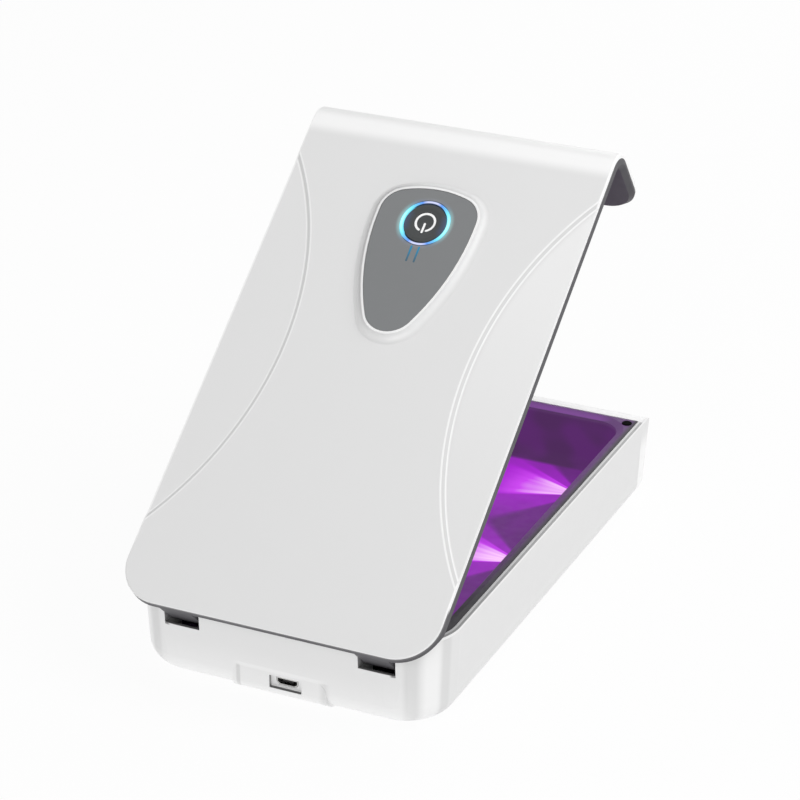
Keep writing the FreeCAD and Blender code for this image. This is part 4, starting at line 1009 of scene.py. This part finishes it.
def stroke_grid(line, across, reach, width, lift):
    """A round-ended stroke printed on the dish, closed into a thin skin.

    A line goes along the stroke with a unit step across it. The half width is a half circle's height beyond
    the line's ends, each of reach half a width, and the section is a flat loop with rounded sides.
    """
    over = np.clip(reach / (width / 2), 0, 1)
    half = width / 2 * np.sqrt(1 - over ** 2)
    turn = np.linspace(0, 2 * np.pi, SECTION_POINTS, endpoint=False)
    flat = np.sign(np.cos(turn)) * np.abs(np.cos(turn)) ** SECTION_POWER
    tall = np.sign(np.sin(turn)) * np.abs(np.sin(turn)) ** SECTION_POWER
    rise = tall * lift * np.minimum(1, half / (width * END_TAPER))[:, None]
    spot = line[:, None, :] + across[:, None, :] * (half[:, None] * flat)[..., None]
    return open_lid(on_dish(spot[..., 0], spot[..., 1], rise))


def sign_grids(sizes):
    """The power sign: an arc that opens towards the hinge, and a bar from its middle through the gap."""
    cap = sizes.sign_stroke / 2
    end = np.pi - sizes.sign_gap / 2
    extra = cap / sizes.sign_radius
    turn = np.linspace(-end - extra, end + extra, ARC_POINTS)
    outward = np.stack([np.sin(turn), np.cos(turn)], -1)
    over = np.maximum(np.abs(turn) - end, 0) * sizes.sign_radius
    ring = outward * sizes.sign_radius + [0, sizes.sign_shift]
    arc = stroke_grid(ring, outward, over, sizes.sign_stroke, sizes.sign_lift)
    way = np.linspace(0, sizes.sign_bar, BAR_POINTS)
    line = np.stack([np.zeros_like(way), cap / 2 - way], -1)
    side = np.stack([np.ones_like(way), np.zeros_like(way)], -1)
    over = np.maximum(np.maximum(cap - way, way - sizes.sign_bar + cap), 0)
    return [arc, stroke_grid(line, side, over, sizes.sign_stroke, sizes.sign_lift)]


def screw_clusters(points):
    """The points of each screw of a node, which stand in rows on both sides of the box."""
    for side in SIDES:
        chosen = points[points[:, 0] * side > 0]
        chosen = chosen[np.argsort(chosen[:, 1])]
        breaks = np.flatnonzero(np.diff(chosen[:, 1]) > SCREW_GAP) + 1
        yield from np.split(chosen, breaks)


def slot_cut(across, along, head, slot_share):
    """How much of a slot's depth is cut at each point: 1 inside the slot, falling to 0 over a soft edge."""
    wide = np.clip((head * slot_share - np.abs(across)) / (head * SLOT_SOFT), 0, 1)
    return wide * np.clip((head * SLOT_LENGTH - np.abs(along)) / (head * SLOT_SOFT), 0, 1)


def screw_grid(points, slot_share):
    """A cross-recessed screw with the sizes of a CAD screw, whose head looks down.

    A radius and height go from the face's middle out to the head's rounded edge, up to its back, in to the
    shank and on to a blunt tip, turned round the axis. The face is sunk by a depth inside two crossed slots.
    """
    low, high = points.min(0), points.max(0)
    centre = (low + high) / 2
    radius = np.hypot(points[:, 0] - centre[0], points[:, 1] - centre[1])
    head = radius.max()
    back = points[radius > head * RIM_SHARE][:, 2].max() - low[2]
    shank = radius[points[:, 2] > high[2] - TIP_BAND].max()
    tall = high[2] - low[2]
    bevel = back * BEVEL_SHARE
    face_r = np.linspace(0, head - bevel, FACE_RINGS)
    curve = np.linspace(0, np.pi / 2, EDGE_RINGS)[1:]
    edge_r = head - bevel + bevel * np.sin(curve)
    edge_z = bevel * (1 - np.cos(curve))
    r = np.concatenate([face_r, edge_r, [head, shank, shank, shank * TIP_SHARE, 0]])
    z = np.concatenate([0 * face_r, edge_z, [back, back, tall - shank, tall, tall]])
    turn = np.linspace(0, 2 * np.pi, SCREW_POINTS, endpoint=False)
    x = r[:, None] * np.cos(turn)
    y = r[:, None] * np.sin(turn)
    cross = np.maximum(slot_cut(x, y, head, slot_share), slot_cut(y, x, head, slot_share))
    sunk = cross * back * SLOT_DEPTH
    sunk[len(face_r):] = 0
    return np.stack([x + centre[0], y + centre[1], z[:, None] + sunk + low[2]], -1)


# Operators


class ShellsOperator(bpy.types.Operator):
    """Gives the base shell and the lid cover their satin white finish"""

    bl_idname = "sterilizer.dress_shells"
    bl_label = "White shells"

    def execute(self, context):
        colours = context.scene.sterilizer_colours
        dress(base_finish(colours), "base_shell")
        dress(cover_finish(colours), "lid_cover")
        return {"FINISHED"}


class LinerOperator(bpy.types.Operator):
    """Gives the lid's liner its dark finish"""

    bl_idname = "sterilizer.dress_liner"
    bl_label = "Dark liner"

    def execute(self, context):
        colours = context.scene.sterilizer_colours
        dress(moulding("dark_satin", colours.liner, 0.5, *DARK_GRAIN, shine=0.15), "lid_liner")
        return {"FINISHED"}


class TrayOperator(bpy.types.Operator):
    """Lights the tray and its lamps"""

    bl_idname = "sterilizer.light_tray"
    bl_label = "Violet tray and lamps"

    def execute(self, context):
        colours = context.scene.sterilizer_colours
        dress(lit_tray_finish(colours), "inner_tray")
        dress(glowing("violet_lamp", (0.45, 0.08, 1.0), 1.0), "uv_lamps")
        dress(quartz_finish(), "lamp_windows")
        return {"FINISHED"}


class BadgeOperator(bpy.types.Operator):
    """Finishes the grey badge, its light ring and its streaks"""

    bl_idname = "sterilizer.dress_badge"
    bl_label = "Badge and ring"

    def execute(self, context):
        colours = context.scene.sterilizer_colours
        sizes = context.scene.sterilizer_sizes
        dress(badge_finish(colours, sizes), "badge_plate")
        dress(ring_finish(colours), "light_ring")
        dress(streak_finish(colours), "light_streaks")
        return {"FINISHED"}


class ButtonOperator(bpy.types.Operator):
    """Finishes the power button and prints its sign"""

    bl_idname = "sterilizer.dress_button"
    bl_label = "Power button"

    def execute(self, context):
        colours = context.scene.sterilizer_colours
        sizes = context.scene.sterilizer_sizes
        dress(button_finish(colours, sizes), "power_button")
        make_piece("power_sign", sign_grids(sizes), print_finish(), "button")
        return {"FINISHED"}


class RubberOperator(bpy.types.Operator):
    """Finishes the feet, bumpers and cables"""

    bl_idname = "sterilizer.dress_rubber"
    bl_label = "Rubber pieces"

    def execute(self, context):
        dress(moulding("grey_rubber", (0.16, 0.16, 0.165), 0.75, *FOOT_GRAIN, spread=0.1), "rubber_feet")
        dress(moulding("black_rubber", (0.004, 0.004, 0.004), 0.8, *RUBBER_GRAIN, spread=0.1, shine=0.02),
              "rim_bumpers")
        dress(moulding("cable_sleeve", (0.012, 0.012, 0.012), 0.6, *RUBBER_GRAIN, spread=0.1),
              "base_cable", "lid_cable")
        return {"FINISHED"}


class MetalOperator(bpy.types.Operator):
    """Finishes the pins, bushes, plates, magnets and socket"""

    bl_idname = "sterilizer.dress_metal"
    bl_label = "Metal pieces"

    def execute(self, context):
        dress(metal("zinc_steel", (0.58, 0.58, 0.57), 0.36), "hinge_pin_left", "hinge_pin_right",
              "friction_washers", "strike_plates")
        dress(metal("tinned_socket", (0.66, 0.66, 0.65), 0.28), "usb_socket")
        dress(metal("turned_brass", (0.72, 0.50, 0.20), 0.32), "pivot_bush_left", "pivot_bush_right")
        dress(metal("nickel_magnet", (0.66, 0.64, 0.60), 0.2), "catch_magnets")
        return {"FINISHED"}


class ScrewsOperator(bpy.types.Operator):
    """Makes the cross-recessed screws of the base and the lid"""

    bl_idname = "sterilizer.make_screws"
    bl_label = "Screws"

    def execute(self, context):
        share = context.scene.sterilizer_sizes.slot_width
        finish = metal("screw_steel", (0.55, 0.55, 0.55), 0.34)
        base = [screw_grid(points, share) for points in screw_clusters(node_points("base_screws"))]
        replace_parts(make_piece("cross_base_screws", base, finish, "base"), "base_screws")
        shut = shut_lid(node_points("lid_screws"))
        lid = [open_lid(screw_grid(points, share)) for points in screw_clusters(shut)]
        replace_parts(make_piece("cross_lid_screws", lid, finish, "lid"), "lid_screws")
        return {"FINISHED"}


class ElectronicsOperator(bpy.types.Operator):
    """Finishes the boards and what is on them"""

    bl_idname = "sterilizer.dress_electronics"
    bl_label = "Boards and leads"

    def execute(self, context):
        dress(moulding("green_board", (0.02, 0.15, 0.06), 0.4, *BOARD_GRAIN, spread=0.15),
              "main_board", "lamp_strip_left", "lamp_strip_right", "lid_board")
        dress(moulding("black_epoxy", (0.012, 0.012, 0.012), 0.5, *EPOXY_GRAIN, spread=0.1),
              "board_chips", "usb_tongue", "touch_switch")
        dress(moulding("cream_nylon", (0.72, 0.67, 0.55), 0.45, *NYLON_GRAIN, spread=0.05),
              "board_plugs", "lid_plug", "switch_plunger", "ring_leds")
        dress(moulding("amber_film", (0.52, 0.22, 0.04), 0.3, *FILM_GRAIN, spread=0.08),
              "lamp_lead_left", "lamp_lead_right")
        return {"FINISHED"}


# Each light's place, size and the setting that holds its power
LIGHTS = {
    "overhead_light": ((0.1, 0.1, 1.2), 1.4, "overhead"),
    "right_light": ((0.9, 0.1, 0.9), 0.8, "right"),
    "near_fill": ((0.2, -1.3, 0.5), 1.0, "near"),
    "far_light": ((0.0, 1.3, 0.7), 1.0, "far"),
    "left_fill": ((-1.2, 0.0, 0.6), 0.8, "left"),
}
FLOOR_HALF = 6.0
FLOOR_GREY = (0.95, 0.95, 0.95)
FLOOR_SEEN = 0.93


class StageOperator(bpy.types.Operator):
    """Builds the floor, the light and the camera"""

    bl_idname = "sterilizer.set_stage"
    bl_label = "Studio"

    def execute(self, context):
        studio = context.scene.sterilizer_studio
        scene = context.scene
        scene.view_settings.view_transform = "Standard"
        self.build_floor(scene, studio)
        self.build_world(scene, studio)
        for name, (place, size, power) in LIGHTS.items():
            self.build_light(scene, name, place, size, getattr(studio, power))
        self.build_camera(scene, studio)
        return {"FINISHED"}

    def build_floor(self, scene, studio):
        """A white table, a little greyer to the eye than to the box, that keeps the box's shadow."""
        corner = np.array([-1.0, 1.0]) * FLOOR_HALF
        x, y = np.meshgrid(corner, corner)
        mesh = bpy.data.meshes.new("studio_floor")
        points = np.stack([x, y, np.zeros_like(x)], -1).reshape(-1, 3)
        mesh.from_pydata(points.tolist(), [], [(0, 1, 3, 2)])
        floor = bpy.data.objects.new("studio_floor", mesh)
        scene.collection.objects.link(floor)
        material, tree = new_material("pale_floor")
        matt = add(tree, "ShaderNodeBsdfDiffuse", {"Color": rgba(FLOOR_GREY)})
        white = add(tree, "ShaderNodeEmission", {"Color": (1, 1, 1, 1), "Strength": 1.0})
        share = fade(tree, self.seen_directly(tree), 0.0, 1.0, studio.table, FLOOR_SEEN)
        mixed = add(tree, "ShaderNodeMixShader", {0: share, 1: matt.outputs[0], 2: white.outputs[0]})
        close_tree(tree, mixed)
        mesh.materials.append(material)

    def seen_directly(self, tree):
        """1 for rays from the camera or seen in gloss or glass."""
        path = add(tree, "ShaderNodeLightPath").outputs
        return most(tree, path["Is Camera Ray"], path["Is Glossy Ray"], path["Is Transmission Ray"])

    def build_world(self, scene, studio):
        """A white backdrop that lights the box less than it shows."""
        world = bpy.data.worlds.new("studio_world")
        world.use_nodes = True
        tree = world.node_tree
        tree.nodes.clear()
        strength = fade(tree, self.seen_directly(tree), 0.0, 1.0, studio.ambient, 1.0)
        sky = add(tree, "ShaderNodeBackground", {"Color": (1, 1, 1, 1), "Strength": strength})
        tree.links.new(sky.outputs[0], add(tree, "ShaderNodeOutputWorld").inputs["Surface"])
        scene.world = world

    def build_light(self, scene, name, place, size, energy):
        """A soft square light that faces the box."""
        data = bpy.data.lights.new(name, "AREA")
        data.size = size
        data.energy = energy
        light = bpy.data.objects.new(name, data)
        scene.collection.objects.link(light)
        light.location = place
        light.rotation_euler = (-light.location).to_track_quat("-Z", "Y").to_euler()

    def build_camera(self, scene, studio):
        """The photograph's camera, level from side to side."""
        flat = math.cos(studio.elevation)
        back = np.array([math.sin(studio.azimuth) * flat, -math.cos(studio.azimuth) * flat,
                         math.sin(studio.elevation)])
        data = bpy.data.cameras.new("photo_camera")
        data.lens = studio.lens
        camera = bpy.data.objects.new("photo_camera", data)
        scene.collection.objects.link(camera)
        camera.location = np.array(studio.aim) + back * studio.distance
        camera.rotation_euler = (math.pi / 2 - studio.elevation, 0, studio.azimuth)
        scene.camera = camera


class SterilizerPanel(bpy.types.Panel):
    """Lists the pieces and the studio"""

    bl_idname = "VIEW3D_PT_sterilizer"
    bl_label = "UV Sterilizer Box"
    bl_space_type = "VIEW_3D"
    bl_region_type = "UI"
    bl_category = "Sterilizer"

    def draw(self, context):
        for operator in OPERATORS:
            self.layout.operator(operator.bl_idname)
        for name in GROUPS:
            group = getattr(context.scene, name)
            box = self.layout.box()
            for setting in group.__annotations__:
                box.prop(group, setting)


OPERATORS = (ShellsOperator, LinerOperator, TrayOperator, BadgeOperator, ButtonOperator, RubberOperator,
             MetalOperator, ScrewsOperator, ElectronicsOperator, StageOperator)
GROUPS = {"sterilizer_colours": SterilizerColours, "sterilizer_sizes": SterilizerSizes,
          "sterilizer_studio": StudioSettings}


def register():
    for made in (*GROUPS.values(), *OPERATORS, SterilizerPanel):
        bpy.utils.register_class(made)
    for name, group in GROUPS.items():
        setattr(bpy.types.Scene, name, bpy.props.PointerProperty(type=group))


def unregister():
    for name in GROUPS:
        delattr(bpy.types.Scene, name)
    for made in (SterilizerPanel, *reversed(OPERATORS), *reversed(GROUPS.values())):
        bpy.utils.unregister_class(made)


def main():
    register()
    for operator in OPERATORS:
        group, name = operator.bl_idname.split(".")
        getattr(getattr(bpy.ops, group), name)()


if __name__ == "__main__":
    main()
